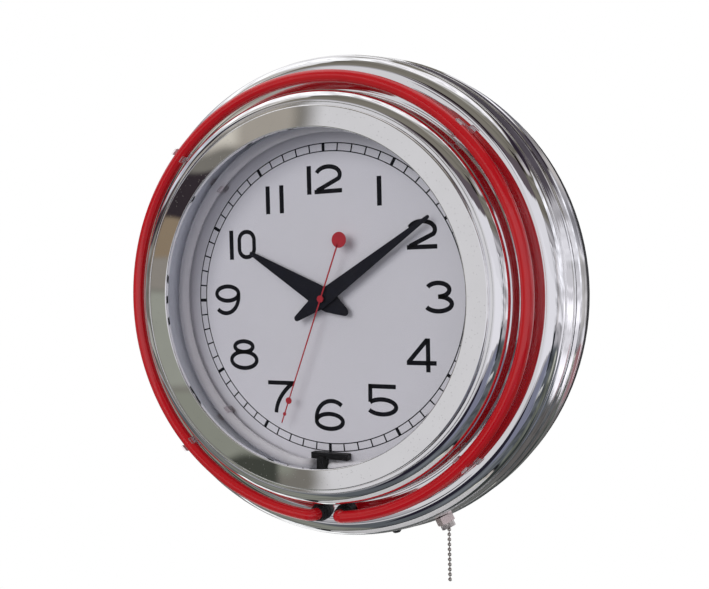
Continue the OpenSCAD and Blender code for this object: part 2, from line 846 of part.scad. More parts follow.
module movement_nut() {
    color("gold") on_dial() difference() {
        translate([0, 0, 0.82]) cylinder(r = 6.2, h = 2.2, $fn = 6);
        disc(bushing_r + 0.02, 0, 9);
    }
}

module circuit_board() {
    color("seagreen") on_dial() difference() {
        translate([-26, 11.5, -7.6]) cube([52, 14.5, 1.4]);
        translate([rotor_at[0], rotor_at[1], 0]) disc(4.4, -11, -5);
    }
}

module drive_coil() {
    color("peru") on_dial() translate([22.8, 0, -13.5]) rotate([-90, 0, 0]) {
        translate([0, 0, -10]) cylinder(r = 3, h = 20);
        for (end = [-11, 10])
            translate([0, 0, end]) cylinder(r = 3.6, h = 1);
    }
}

// Iron plate that carries the coil's field round the rotor
module stator() {
    plate_z = -9;
    color("lightslategray") on_dial() difference() {
        union() {
            box_at([4, 22, 1], [22.8, 1, plate_z]);
            box_at([12, 6, 1], [18.8, rotor_at[1], plate_z]);
            translate([rotor_at[0], rotor_at[1], plate_z]) cylinder(r = 5.4, h = 1);
            box_at([2, 2, 2.5], [22.8, 12, plate_z - 2.4]);
        }
        translate([rotor_at[0], rotor_at[1], plate_z - 1]) cylinder(r = 3.6, h = 3);
    }
}

module rotor() {
    color("dimgray") on_dial() translate([rotor_at[0], rotor_at[1], 0]) {
        gear(rotor_teeth, rotor_module, train_angle + 180 + 180 / rotor_teeth, -15.7, -13.7);
        disc(0.4, arbor_low, arbor_high);
        disc(3, -11.4, -8);
    }
}

module step_wheel() {
    color("gold") on_dial() translate([step_at[0], step_at[1], 0]) {
        gear(step_teeth, rotor_module, train_angle, -15.4, -14.7);
        gear(step_pinion_teeth, train_module, train_angle + 180 + 180 / step_pinion_teeth, -17.8, -15.4);
        disc(0.4, arbor_low, arbor_high);
    }
}

module second_arbor() {
    color("goldenrod") on_dial() {
        gear(seconds_teeth, train_module, train_angle, -17.2, -16.4);
        disc(second_r, arbor_low, second_hand_z + 1.2);
    }
}

module minute_arbor() {
    color("khaki") on_dial() difference() {
        union() {
            gear(pinion_teeth, motion_module, 180, -14.3, -10.8);
            disc(minute_r, -14.3, minute_hand_z + 1.2);
        }
        disc(second_r + fit_gap, -20, 20);
    }
}

module hour_wheel() {
    color("lemonchiffon") on_dial() difference() {
        union() {
            gear(hour_teeth, hour_module, 180 + 180 / hour_teeth, -10, -8.6);
            disc(hour_r, -10.4, hour_hand_z + 1.2);
        }
        disc(minute_r + fit_gap, -20, 20);
    }
}

module setting_wheel() {
    color("lemonchiffon") on_dial() translate([setting_x, 0, 0]) {
        gear(motion_teeth, motion_module, 180 / motion_teeth, -13.6, -12.2);
        gear(hour_pinion_teeth, hour_module, 0, -12.2, -8);
        disc(0.75, knob_seat, arbor_high);
    }
}

module set_knob() {
    flutes = 12;
    color("#d8d8d8") on_dial() translate([setting_x, 0, 0]) difference() {
        disc(6.5, -28, -20.8);
        disc(0.75, knob_seat, 0);
        for (i = [0:flutes - 1])
            rotate([0, 0, i * 360 / flutes]) translate([7, 0, 0]) disc(1, -30, -22);
    }
}

module battery() {
    color("darkgoldenrod") on_dial() translate([-25, battery_y, battery_z]) rotate([0, 90, 0]) {
        translate([0, 0, 0.6]) cylinder(r = battery_r, h = 48.2);
        translate([0, 0, 48.8 - eps]) cylinder(r = 2.7, h = 1.1);
    }
}

module battery_contacts() {
    color("silver") on_dial() {
        translate([25.05, battery_y - 4, battery_z - 5]) cube([0.5, 8, 10]);
        translate([-25.7, battery_y - 4, battery_z - 5]) cube([0.5, 8, 10]);
        translate([-25.25, battery_y, battery_z]) rotate([0, 90, 0]) cylinder(r1 = 3.4, r2 = 2, h = 0.8);
    }
}

// ---------- hands ----------

// Tapered blade: round tip, widest beside the hub, and a shorter tapered tail
module blade(tip, tip_r, waist, waist_y, tail, tail_r, z, hole_r) {
    right = [[tip_r, tip - tip_r], [waist, waist_y], [waist, -waist_y], [tail_r, -tail + tail_r]];
    left = [for (i = [3:-1:0]) [-right[i][0], right[i][1]]];
    translate([0, 0, z]) difference() {
        linear_extrude(hand_thick) union() {
            polygon(concat(right, left));
            translate([0, tip - tip_r]) circle(r = tip_r);
            translate([0, -tail + tail_r]) circle(r = tail_r);
        }
        translate([0, 0, -1]) cylinder(r = hole_r, h = 4);
    }
}

module hour_hand() {
    color("#0b0b0f") on_dial() rotate([0, 0, -hour_angle]) {
        blade(tip = hour_len, tip_r = 1.8, waist = 9.2, waist_y = 7, tail = 26, tail_r = 3.4,
              z = hour_hand_z, hole_r = hour_r);
        ring(hour_r, hour_r + 1.2, hour_hand_z - 1, hour_hand_z);
    }
}

module minute_hand() {
    color("#0b0b0f") on_dial() rotate([0, 0, -minute_angle]) {
        blade(tip = minute_len, tip_r = 1.5, waist = 7, waist_y = 7, tail = 32, tail_r = 2.6,
              z = minute_hand_z, hole_r = minute_r);
        ring(minute_r, minute_r + 1.2, minute_hand_z - 0.8, minute_hand_z);
    }
}

// Thin shaft with a counterweight disc behind the hub and two small discs near the tip
module second_hand() {
    shaft_w = 1.3;
    thick = 0.5;
    discs = [[-counter_len, 6.6], [93, 2.9], [105.5, 1.6]];
    color("firebrick") on_dial() rotate([0, 0, -second_angle]) difference() {
        union() {
            translate([-shaft_w / 2, -counter_len, second_hand_z])
                cube([shaft_w, counter_len + second_len, thick]);
            for (d = discs)
                translate([0, d[0], second_hand_z]) cylinder(r = d[1], h = thick);
            translate([0, 0, second_hand_z]) cylinder(r = 3, h = 1.4);
        }
        translate([0, 0, second_hand_z - 1]) cylinder(r = second_r, h = 2.2);
    }
}

front_shell();
bezel_ring();
lens();
inner_reflector();
dial();
back_cover();
battery_hatch();
hanger_plate();
cord_gland();
cover_screws();
reflector_screws();
outer_neon_tube();
outer_tube_boots();
outer_tube_clips();
outer_tube_leads();
inner_neon_tube();
inner_tube_boots();
inner_tube_clips();
inner_tube_leads();
tube_end_bracket();
power_supply_box();
power_supply_lid();
power_supply_screws();
supply_transformer();
switch_body();
switch_cap();
switch_cam();
switch_collar();
chain_bell();
switch_bracket();
bracket_screw();
switch_leads();
pull_link();
chain_knuckle();
pull_chain();
movement_case();
movement_cover();
movement_washer();
movement_nut();
circuit_board();
drive_coil();
stator();
rotor();
step_wheel();
second_arbor();
minute_arbor();
hour_wheel();
setting_wheel();
set_knob();
battery();
battery_contacts();
hour_hand();
minute_hand();
second_hand();
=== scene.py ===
"""Looks of a wall clock: stepped plated case, two neon rings, printed dial, pull-chain switch.

Shapes are drawn face-on in millimetres (x right, y up, z out from the wall) and
stood up against the wall plane y = 0, so the dial faces -Y.
"""

from math import asin, atan2, cos, degrees, pi, radians, sin, tan

import bmesh
import bpy
from mathutils import Matrix, Vector


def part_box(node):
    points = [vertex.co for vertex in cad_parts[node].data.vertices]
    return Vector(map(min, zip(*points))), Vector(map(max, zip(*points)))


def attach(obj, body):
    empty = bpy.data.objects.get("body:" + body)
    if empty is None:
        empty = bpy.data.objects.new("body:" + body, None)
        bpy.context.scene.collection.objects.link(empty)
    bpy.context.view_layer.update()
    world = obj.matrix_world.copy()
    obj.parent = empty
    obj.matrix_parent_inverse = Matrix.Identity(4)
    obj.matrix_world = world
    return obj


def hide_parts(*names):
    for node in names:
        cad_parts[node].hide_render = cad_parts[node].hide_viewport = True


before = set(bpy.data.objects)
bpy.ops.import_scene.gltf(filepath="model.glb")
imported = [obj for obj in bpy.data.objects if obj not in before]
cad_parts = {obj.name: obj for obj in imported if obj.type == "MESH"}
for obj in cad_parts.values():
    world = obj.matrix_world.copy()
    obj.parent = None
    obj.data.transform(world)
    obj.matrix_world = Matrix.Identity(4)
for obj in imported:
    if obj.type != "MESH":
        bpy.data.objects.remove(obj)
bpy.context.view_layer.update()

MM = 0.001
TAU = 2 * pi
STAND = Matrix.Rotation(radians(90), 4, "X") @ Matrix.Scale(MM, 4)


# ---------- sizes, from the frame where it holds them ----------


def reach(node):
    """Greatest distance from the clock axis, sideways, in millimetres."""
    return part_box(node)[1].x / MM


def front(node):
    """Height above the wall of a node's front, in millimetres."""
    return -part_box(node)[0].y / MM


def back(node):
    """Height above the wall of a node's back, in millimetres."""
    return -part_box(node)[1].y / MM


FLARE_R = reach("front_shell")
SIDE_R = 204.5
SHOULDER_Z = front("front_shell")
SHELL_REAR = 15.2
CHANNEL_Z = 76
WAIST_R = 201.5
WALL_FOOT_R = 170.3
SHOULDER_R = 168.34
SHELL_INNER_R = 152.6
ROUND = 11
SHEET = 2.4
GROOVE_Z = 44.5
FLARE_Z = 34.5
SEAM_R = 157.7

BEZEL_R = reach("bezel_ring")
BEZEL_Z = front("bezel_ring")
OPENING_R = 137.5
LENS_R = reach("lens")
LENS_FRONT = front("lens")
LENS_BACK = back("lens")
DIAL_R = reach("dial")
DIAL_Z = front("dial")
DIAL_BACK = back("dial")
CUP_INNER_R = 150.2
CUP_OUTER_R = 152.2
CUP_FLOOR = back("inner_reflector")
CUP_TOP = front("inner_reflector")
BUSHING_HOLE = 4.2

TUBE_R = 5
BEND_R = 6
LEG_GAP = 22
OUTER_RING = {"r": 180, "z": 92.5, "turn": 2.3, "leg_end": 58, "tube": TUBE_R}
INNER_RING = {"r": 143, "z": 74, "turn": -2.8, "leg_end": 50, "tube": TUBE_R - 0.2}
CLIP_ANGLES = (45, 135, 225, 315)
EAR_ANGLES = (15, 105, 195, 285)
EAR_R = 178

SWITCH_ANGLE = 152.4
SWITCH_Z = 48
COLLAR_FROM = 204.6
COLLAR_TO = 210.98
BELL_FROM = 211
BELL_TO = 215.2
BEAD_R = 1.6
BEAD_PITCH = 4.2
BEAD_COUNT = 9
CHAIN_PIN_R = 0.45
LINK_DROP = 1.6

SHOWN = {"hour_hand": 299.68, "minute_hand": 56.5, "second_hand": 201.0}


# ---------- shapes ----------


def rounded(corners, step=9):
    """Points and outward normals of a closed outline, from anticlockwise (x, y, fillet) corners."""
    made = []
    for i, (x, y, fillet) in enumerate(corners):
        corner = Vector((x, y))
        into = (corner - Vector(corners[i - 1][:2])).normalized()
        out = (Vector(corners[(i + 1) % len(corners)][:2]) - corner).normalized()
        turn = atan2(into.x * out.y - into.y * out.x, into.dot(out))
        side = 1 if turn > 0 else -1
        start = corner - into * fillet * tan(abs(turn) / 2)
        centre = start + Vector((-into.y, into.x)) * fillet * side
        count = max(1, round(abs(degrees(turn)) / step))
        for k in range(count + 1):
            c, s = cos(turn * k / count), sin(turn * k / count)
            along = Vector((into.x * c - into.y * s, into.x * s + into.y * c))
            normal = Vector((along.y, -along.x))
            made.append((centre + normal * fillet * side, normal))
    return made


def grid_faces(rows, columns, wrap_rows, wrap_columns, offset=0):
    """Quads between neighbouring points of a grid stored row by row."""
    faces = []
    for i in range(rows if wrap_rows else rows - 1):
        for j in range(columns if wrap_columns else columns - 1):
            here, after = i * columns, (i + 1) % rows * columns
            side = (j + 1) % columns
            corners = (here + j, after + j, after + side, here + side)
            faces.append(tuple(offset + v for v in corners))
    return faces


class Shape:
    """Points, faces and optional point normals, gathered from several solids."""

    def __init__(self):
        self.points, self.faces, self.normals = [], [], []

    def add(self, points, faces, place=None, normals=None):
        """Joins more points and faces on, moved to a place."""
        place = place or Matrix.Identity(4)
        base = len(self.points)
        self.points += [place @ Vector(p) for p in points]
        self.faces += [tuple(base + i for i in face) for face in faces]
        turned = place.to_3x3()
        self.normals += [(turned @ Vector(n)).normalized() for n in normals or []]
        return self

    def lathe(self, outline, place=None, turns=192):
        """Turns an outline of (radius, height) points with normals about the z axis."""
        points, normals = [], []
        for j in range(turns):
            c, s = cos(TAU * j / turns), sin(TAU * j / turns)
            points += [(p.x * c, p.x * s, p.y) for p, n in outline]
            normals += [(n.x * c, n.x * s, n.y) for p, n in outline]
        return self.add(points, grid_faces(turns, len(outline), True, True), place, normals)

    def disc(self, outline, place=None, turns=192):
        """Turns an open outline that starts and ends on the z axis."""
        points, normals = [(0, 0, outline[0][0].y)], [(0, 0, outline[0][1].y)]
        inner = outline[1:-1]
        for j in range(turns):
            c, s = cos(TAU * j / turns), sin(TAU * j / turns)
            points += [(p.x * c, p.x * s, p.y) for p, n in inner]
            normals += [(n.x * c, n.x * s, n.y) for p, n in inner]
        points.append((0, 0, outline[-1][0].y))
        normals.append((0, 0, outline[-1][1].y))
        faces = grid_faces(turns, len(inner), True, False, 1)
        for j in range(turns):
            here, after = 1 + j * len(inner), 1 + (j + 1) % turns * len(inner)
            faces.append((0, here, after))
            faces.append((len(points) - 1, after + len(inner) - 1, here + len(inner) - 1))
        return self.add(points, faces, place, normals)

    def prism(self, outline, low, high, place=None):
        """Raises a closed face-on outline from low to high."""
        count = len(outline)
        points = [(x, y, low) for x, y in outline] + [(x, y, high) for x, y in outline]
        faces = [(i, (i + 1) % count, count + (i + 1) % count, count + i) for i in range(count)]
        faces.append(tuple(range(count - 1, -1, -1)))
        faces.append(tuple(range(count, 2 * count)))
        return self.add(points, faces, place)

    def ribbon(self, line, width, low, high, place=None, closed=False):
        """A flat stroke of even width along a face-on line."""
        points = []
        count = len(line)
        for i, p in enumerate(line):
            before = Vector(line[i - 1] if i or closed else p)
            after = Vector(line[(i + 1) % count] if i < count - 1 or closed else p)
            p = Vector(p)
            into, out = (p - before), (after - p)
            into = into.normalized() if into.length > 1e-6 else out.normalized()
            out = out.normalized() if out.length > 1e-6 else into
            side = Vector((-into.y - out.y, into.x + out.x)).normalized()
            half = width / 2 / max(0.5, side.dot(Vector((-into.y, into.x))))
            for height in (low, high):
                points.append((p.x + side.x * half, p.y + side.y * half, height))
            for height in (high, low):
                points.append((p.x - side.x * half, p.y - side.y * half, height))
        faces = grid_faces(count, 4, closed, True)
        if not closed:
            faces += [(0, 1, 2, 3), tuple(4 * count - k for k in (1, 2, 3, 4))]
        return self.add(points, faces, place)

    def sweep(self, path, radius, place=None, sides=32):
        """A round rod along (centre, sideways, along) stations, with rounded ends."""
        points, normals = [], []
        ends = [(path[0], -1), (path[-1], 1)]
        stations = [(c, u, t, 1, 0) for c, u, t in path]
        for (c, u, t), way in ends:
            cap = [(c + t * way * radius * 0.35 * sin(a), u, t, cos(a), way * sin(a))
                   for a in (radians(25), radians(50), radians(70), radians(89))]
            stations = cap[::-1] + stations if way < 0 else stations + cap
        for c, u, t, share, lean in stations:
            v = t.cross(u)
            for k in range(sides):
                out = u * cos(TAU * k / sides) + v * sin(TAU * k / sides)
                points.append(c + out * radius * share)
                normals.append(out * share + t * lean)
        faces = grid_faces(len(stations), sides, False, True)
        faces.append(tuple(range(sides)))
        faces.append(tuple(len(points) - 1 - k for k in range(sides)))
        return self.add(points, faces, place, normals)

    def piece(self, name, body, material, slot, replaces=None, sharp=None, bevel=0.0):
        """Makes the object, rides it on its body and hides the CAD node it stands for."""
        mesh = bpy.data.meshes.new(name)
        mesh.from_pydata([tuple(p) for p in self.points], [], self.faces)
        turn_outward(mesh)
        mesh.materials.append(material)
        mesh.shade_smooth()
        if len(self.normals) == len(self.points):
            mesh.normals_split_custom_set_from_vertices(self.normals)
        elif sharp is not None:
            mesh.set_sharp_from_angle(angle=radians(sharp))
        made = bpy.data.objects.new(name, mesh)
        bpy.context.scene.collection.objects.link(made)
        if bevel:
            edge = made.modifiers.new("edges", "BEVEL")
            edge.width = bevel * MM
            edge.segments = 3
            edge.limit_method = "ANGLE"
            edge.angle_limit = radians(40)
            edge.harden_normals = True
        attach(made, body)
        if replaces:
            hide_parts(replaces)
        return made


def spin(angle, axis):
    """Rotation by degrees about an axis."""
    return Matrix.Rotation(radians(angle), 4, axis)


def turn_outward(mesh):
    """Makes every face of a closed mesh look outward."""
    work = bmesh.new()
    work.from_mesh(mesh)
    bmesh.ops.recalc_face_normals(work, faces=work.faces)
    work.to_mesh(mesh)
    work.free()


def at_clock(angle, r=0):
    """Place at a clock angle and radius, its own y axis pointing outward."""
    return STAND @ spin(-angle, "Z") @ Matrix.Translation((0, r, 0))


def on_switch_axis():
    """Place whose z axis runs from the clock axis out through the side wall."""
    round_clock = spin(-SWITCH_ANGLE, "Z")
    outward = spin(-90, "X")
    return STAND @ round_clock @ Matrix.Translation((0, 0, SWITCH_Z)) @ outward


def arc(centre, rx, ry, start, end, steps=None):
    """Face-on points along an ellipse, between two angles in degrees."""
    steps = steps or max(4, round(abs(end - start) / 7))
    angles = [radians(start + (end - start) * k / steps) for k in range(steps + 1)]
    return [(centre[0] + rx * cos(a), centre[1] + ry * sin(a)) for a in angles]


def loop(centre, rx, ry):
    """A whole ellipse, its last point the same as its first."""
    line = arc(centre, rx, ry, 0, 360)
    return line[:-1] + line[:1]


def box_outline(left, right, low, high):
    """Corners of a face-on rectangle, anticlockwise."""
    return [(left, low), (right, low), (right, high), (left, high)]


def marked(*points):
    """Outline points with normals, from (radius, height, outward, upward) values."""
    return [(Vector((r, z)), Vector((out, up))) for r, z, out, up in points]


def bend(p, q, r, steps=14):
    """Face-on points along the quadratic curve from p to r that leans towards q."""
    line = []
    for k in range(steps + 1):
        t = k / steps
        line.append(tuple((1 - t) ** 2 * a + 2 * t * (1 - t) * b + t * t * c for a, b, c in zip(p, q, r)))
    return line


# ---------- materials ----------

# Rings that spinning left in the plated case, per metre
SPUN_SCALE = 330
# Dull specks in a plated surface: cells per metre, how much of a cell one covers, the share of
# cells that have one, and how much rougher it is
SPECK_SCALE = 420
SPECK_SIZE = 0.16
SPECK_SHARE = 0.28
SPECK_DULLS = 0.35


def node(tree, kind, inputs=None, **settings):
    """Adds a shader node; an input that is a socket is linked, any other is a value."""
    made = tree.nodes.new("ShaderNode" + kind)
    for key, value in settings.items():
        setattr(made, key, value)
    for key, value in (inputs or {}).items():
        if isinstance(value, bpy.types.NodeSocket):
            tree.links.new(value, made.inputs[key])
        else:
            made.inputs[key].default_value = value
    return made


def math_of(tree, operation, *values, clamp=False):
    """Result of a maths node on numbers or sockets."""
    inputs = dict(enumerate(values))
    return node(tree, "Math", inputs, operation=operation, use_clamp=clamp).outputs[0]


def remap(tree, value, low, high, to_low, to_high, curve="LINEAR"):
    """Maps low to high onto to_low to to_high, and holds beyond them."""
    inputs = {"Value": value, "From Min": low, "From Max": high, "To Min": to_low, "To Max": to_high}
    return node(tree, "MapRange", inputs, interpolation_type=curve).outputs[0]


def mix_of(tree, share, first, second):
    """Blend of two colours."""
    made = node(tree, "Mix", {"Factor": share, "A": first, "B": second}, data_type="RGBA")
    return [socket for socket in made.outputs if socket.type == "RGBA"][0]


def bumped(tree, height, depth, normal=None):
    """Normal of a relief, its depth in millimetres, on top of another normal."""
    inputs = {"Height": height, "Strength": 1.0, "Distance": depth * MM}
    if normal:
        inputs["Normal"] = normal
    return node(tree, "Bump", inputs).outputs[0]


def rgb(text):
    """Linear colour with alpha from six hexadecimal digits of sRGB."""
    parts = [int(text[i:i + 2], 16) / 255 for i in (0, 2, 4)]
    return tuple(c / 12.92 if c <= 0.04045 else ((c + 0.055) / 1.055) ** 2.4 for c in parts) + (1,)


def scaled(colour, factor):
    """The colour made darker or lighter."""
    return tuple(min(1, c * factor) for c in colour[:3]) + (1,)


def noise(tree, place, scale, detail=3, stretch=(1, 1, 1)):
    """Grey noise from 0 to 1; scale is in features per metre."""
    place = node(tree, "Mapping", {"Vector": place, "Scale": stretch}).outputs[0]
    made = node(tree, "TexNoise", {"Vector": place, "Scale": scale, "Detail": detail})
    return made.outputs["Fac"]


def spread(tree, value, low, high):
    """Maps the middle half of a noise onto the range from low to high."""
    return remap(tree, value, 0.25, 0.75, low, high)


def specks(tree, place):
    """One at the middles of a few small scattered cells, zero elsewhere."""
    cells = node(tree, "TexVoronoi", {"Vector": place, "Scale": SPECK_SCALE}).outputs
    dots = remap(tree, cells["Distance"], SPECK_SIZE, SPECK_SIZE * 0.4, 0, 1)
    rare = math_of(tree, "GREATER_THAN", cells["Color"], 1 - SPECK_SHARE)
    return math_of(tree, "MULTIPLY", dots, rare)


def spun_rings(tree, place, depth, relief):
    """Faint rings, of a depth in millimetres, that spinning leaves round the clock axis."""
    x, y, z = node(tree, "SeparateXYZ", {0: place}).outputs
    flat = node(tree, "CombineXYZ", {0: x, 2: z}).outputs[0]
    radius = node(tree, "VectorMath", {0: flat}, operation="LENGTH").outputs["Value"]
    ring = node(tree, "CombineXYZ", {0: radius, 1: y}).outputs[0]
    rings = node(tree, "TexNoise", {"Vector": ring, "Scale": SPUN_SCALE, "Detail": 1.5})
    return bumped(tree, rings.outputs["Fac"], depth, relief)


def blank_material(name):
    """A new material's empty node tree, and the coordinates of the piece it covers."""
    made = bpy.data.materials.new(name)
    made.use_nodes = True
    made.node_tree.nodes.clear()
    place = node(made.node_tree, "TexCoord").outputs["Object"]
    return made, made.node_tree, place


def finish_of(name, shade, rough, mottle, bump, metal=0.0, wave=None, speckle=0.0, coat=0.0, ior=1.5,
              stretch=(1, 1, 1), subsurface=0.0, painted_glow=0.0, spun=0.0):
    """A surface whose colour, roughness and relief all vary a little.

    rough is the least and greatest roughness; mottle is the share by which the colour changes,
    and its scale per metre; bump and wave are a depth in millimetres and a scale per metre;
    spun is the depth of the spinning rings. The emission strength is painted light: the surface
    glows in its own colour though it is no lamp.
    """
    made, tree, place = blank_material(name)
    colour = rgb(shade)
    made.diffuse_color = colour
    broad = noise(tree, place, mottle[1], 4, stretch)
    fine = noise(tree, place, bump[1], 3, stretch)
    darker, paler = scaled(colour, 1 - mottle[0]), scaled(colour, 1 + mottle[0])
    tint = mix_of(tree, spread(tree, broad, 0, 1), darker, paler)
    roughness = math_of(tree, "ADD", spread(tree, broad, rough[0], rough[1]),
                        spread(tree, fine, -0.15 * rough[0], 0.25 * rough[0]))
    if speckle:
        dots = specks(tree, place)
        tint = mix_of(tree, dots, tint, scaled(colour, 1 - speckle))
        roughness = math_of(tree, "ADD", roughness, math_of(tree, "MULTIPLY", dots, SPECK_DULLS))
    relief = bumped(tree, fine, bump[0])
    if wave:
        relief = bumped(tree, noise(tree, place, wave[1], 1, stretch), wave[0], relief)
    if spun:
        relief = spun_rings(tree, place, spun, relief)
    # The emission in the surface's own colour is painted light, for parts that are no lamp.
    shader = node(tree, "BsdfPrincipled", {
        "Base Color": tint, "Roughness": roughness, "Metallic": metal, "Normal": relief, "IOR": ior,
        "Coat Weight": coat, "Coat Roughness": 0.04, "Emission Color": tint, "Emission Strength": painted_glow,
        "Subsurface Weight": subsurface, "Subsurface Radius": (1, 1, 1), "Subsurface Scale": 0.002})
    node(tree, "OutputMaterial", {"Surface": shader.outputs[0]})
    return made


def clear_of(name, shade, rough, solid, grain, sheen, ior=1.45):
    """Thin clear glass or plastic: what is behind shows straight through, under a mirrored sheen.

    solid is the least and greatest share of the surface that isn't clear, and sheen scales the
    mirrored share at the rim.
    """
    made, tree, place = blank_material(name)
    tint = rgb(shade)
    smears = noise(tree, place, grain, 4)
    relief = bumped(tree, smears, 0.01)
    through = node(tree, "BsdfTransparent", {"Color": tint}).outputs[0]
    shine = node(tree, "BsdfPrincipled", {
        "Base Color": scaled(tint, 0.9), "Roughness": spread(tree, smears, rough[0], rough[1]), "IOR": ior,
        "Normal": relief, "Metallic": 0.0}).outputs[0]
    rim = node(tree, "Fresnel", {"IOR": ior}).outputs[0]
    edge = math_of(tree, "MULTIPLY", rim, sheen)
    share = math_of(tree, "ADD", edge, spread(tree, smears, solid[0], solid[1]), clamp=True)
    mixed = node(tree, "MixShader", {0: share, 1: through, 2: shine}).outputs[0]
    node(tree, "OutputMaterial", {"Surface": mixed})
    return made


PLATED = finish_of(
    "plated_case", "eeeef0", (0.012, 0.03), (0.02, 35), (0.0004, 2400), metal=1, wave=(0.05, 16),
    speckle=0.3, spun=0.17)
BEZEL = finish_of(
    "plated_bezel", "eeeeef", (0.008, 0.02), (0.02, 45), (0.0007, 2600), metal=1, wave=(0.04, 14),
    speckle=0.4)
LENS = clear_of("lens_glass", "fdfdfe", rough=(0.0, 0.02), solid=(0.0, 0.002), grain=25, sheen=0.07)
WHITE_CUP = finish_of("white_reflector", "f1f4fb", (0.32, 0.45), (0.03, 30), (0.006, 900))
FACE = finish_of("dial_face", "e2e1e5", (0.42, 0.55), (0.015, 18), (0.004, 1500))
INK = finish_of("printed_ink", "0d0e15", (0.4, 0.55), (0.2, 300), (0.006, 2500), ior=1.2)
# The red tube is unlit, yet glows faintly in its own colour: painted light that keeps its shaded side and
# its reflections evenly red.
RED_GLASS = finish_of(
    "red_glass", "b8101b", (0.09, 0.15), (0.06, 55), (0.003, 700), wave=(0.02, 60), coat=0.25,
    painted_glow=0.17)
WHITE_GLASS = finish_of("white_glass", "e8e6e8", (0.12, 0.2), (0.03, 40), (0.004, 900), coat=0.5)
RUBBER = finish_of("black_rubber", "141416", (0.42, 0.6), (0.25, 120), (0.03, 1800))
CLEAR = clear_of("clear_plastic", "fffcfd", rough=(0.02, 0.06), solid=(0.0, 0.02), grain=160, sheen=1.0)
HAND_BLACK = finish_of("black_hands", "11121d", (0.3, 0.42), (0.2, 90), (0.006, 1600), ior=1.28)
HAND_RED = finish_of("red_hand", "b5202e", (0.3, 0.42), (0.1, 120), (0.006, 1500))
NICKEL = finish_of("nickel", "dfd8d4", (0.1, 0.2), (0.08, 200), (0.01, 2600), metal=1, speckle=0.3)
COLLAR = finish_of(
    "nickel_collar", "d9cac8", (0.26, 0.38), (0.1, 260), (0.015, 2000), metal=0.7, speckle=0.3)
CHAIN = finish_of("nickel_chain", "cdc8c3", (0.1, 0.22), (0.15, 400), (0.01, 3000), metal=1)
SCREW = finish_of("dark_screws", "2a2a2c", (0.3, 0.45), (0.2, 300), (0.02, 2500), metal=0.7)
COVER = finish_of("black_cover", "131315", (0.5, 0.65), (0.15, 24), (0.05, 1300), ior=1.3)
PLASTIC = finish_of("black_plastic", "0f0f11", (0.35, 0.5), (0.15, 70), (0.03, 1500), ior=1.35)
ZINC = finish_of("zinc_steel", "b5b6b4", (0.28, 0.42), (0.12, 110), (0.02, 1600), metal=1)
BRASS = finish_of("brass", "c9a35a", (0.2, 0.32), (0.1, 180), (0.01, 2000), metal=1)
MOULDED = finish_of("white_plastic", "e4e2da", (0.36, 0.5), (0.05, 120), (0.02, 1500), subsurface=0.1)
BOARD = finish_of("green_board", "1f5a3a", (0.35, 0.5), (0.15, 160), (0.02, 1500))
COPPER = finish_of(
    "copper_winding", "b06a3c", (0.25, 0.4), (0.12, 300), (0.06, 4000), metal=0.9,
    stretch=(0.05, 0.05, 1))
MAGNET = finish_of("magnet", "4a4a4e", (0.35, 0.5), (0.15, 400), (0.02, 900), metal=0.6)
BAKELITE = finish_of("brown_bakelite", "3b261a", (0.22, 0.36), (0.25, 180), (0.02, 1200), coat=0.2)
SLEEVE = finish_of("battery_sleeve", "a8772c", (0.22, 0.34), (0.1, 90), (0.01, 900), metal=0.3)
RED_WIRE = finish_of("red_wire", "a01c1c", (0.35, 0.5), (0.12, 150), (0.03, 900))
WHITE_WIRE = finish_of("white_wire", "d8d6d0", (0.35, 0.5), (0.08, 150), (0.03, 900))
BLACK_WIRE = finish_of("black_wire", "161616", (0.35, 0.5), (0.2, 150), (0.03, 900))


# ---------- plated case, bezel, lens ----------


def plated_shell():
    """Thin stepped sheet: raised centre, channel for the outer ring, side wall and rear band."""
    outline = rounded([
        # rear band
        (FLARE_R, SHELL_REAR, 0.6),
        (FLARE_R - 0.4, (SHELL_REAR + FLARE_Z) / 2, 120),
        (FLARE_R, FLARE_Z, 0.7),
        (FLARE_R - 0.9, FLARE_Z + 1.8, 0.9),
        # groove between two low beads
        (SIDE_R + 0.7, GROOVE_Z - 1.2, 0.3),
        (SIDE_R - 0.9, GROOVE_Z, 0.5),
        (SIDE_R + 0.45, GROOVE_Z + 1.2, 0.3),
        (SIDE_R + 0.3, GROOVE_Z + 2.2, 0.4),
        (SIDE_R, GROOVE_Z + 3, 0.4),
        # side wall, leaning in to the waist
        (SIDE_R, CHANNEL_Z - 24, 16),
        (WAIST_R + 1.3, CHANNEL_Z - 14, 1.0),
        (WAIST_R + 0.8, CHANNEL_Z - 12, 0.5),
        (WAIST_R, CHANNEL_Z - 11.6, 0.5),
        # channel, shoulder and the fine seam beside the bezel
        (WAIST_R, CHANNEL_Z, ROUND),
        (WALL_FOOT_R, CHANNEL_Z, 1.0),
        (SHOULDER_R, SHOULDER_Z, ROUND),
        (SEAM_R + 0.32, SHOULDER_Z, 0.12),
        (SEAM_R, SHOULDER_Z - 0.5, 0.15),
        (SEAM_R - 0.32, SHOULDER_Z, 0.12),
        (SHELL_INNER_R, SHOULDER_Z, 0.3),
        # inside face of the sheet
        (SHELL_INNER_R, SHOULDER_Z - SHEET, 0.3),
        (SHOULDER_R - SHEET, SHOULDER_Z - SHEET, ROUND - SHEET),
        (WALL_FOOT_R - SHEET, CHANNEL_Z - SHEET, 1.2),
        (WAIST_R - SHEET, CHANNEL_Z - SHEET, ROUND - SHEET),
        (WAIST_R - SHEET, CHANNEL_Z - 14, 0.6),
        (SIDE_R - SHEET, CHANNEL_Z - 14, 0.6),
        (SIDE_R - SHEET, GROOVE_Z - 1.5, 0.6),
        (FLARE_R - SHEET, FLARE_Z - 1, 0.6),
        (FLARE_R - SHEET, SHELL_REAR, 0.6),
    ], 6)
    case = Shape().lathe(outline, STAND, 320)
    case.piece("plated_shell", "clock", PLATED, "plated_case", "front_shell")


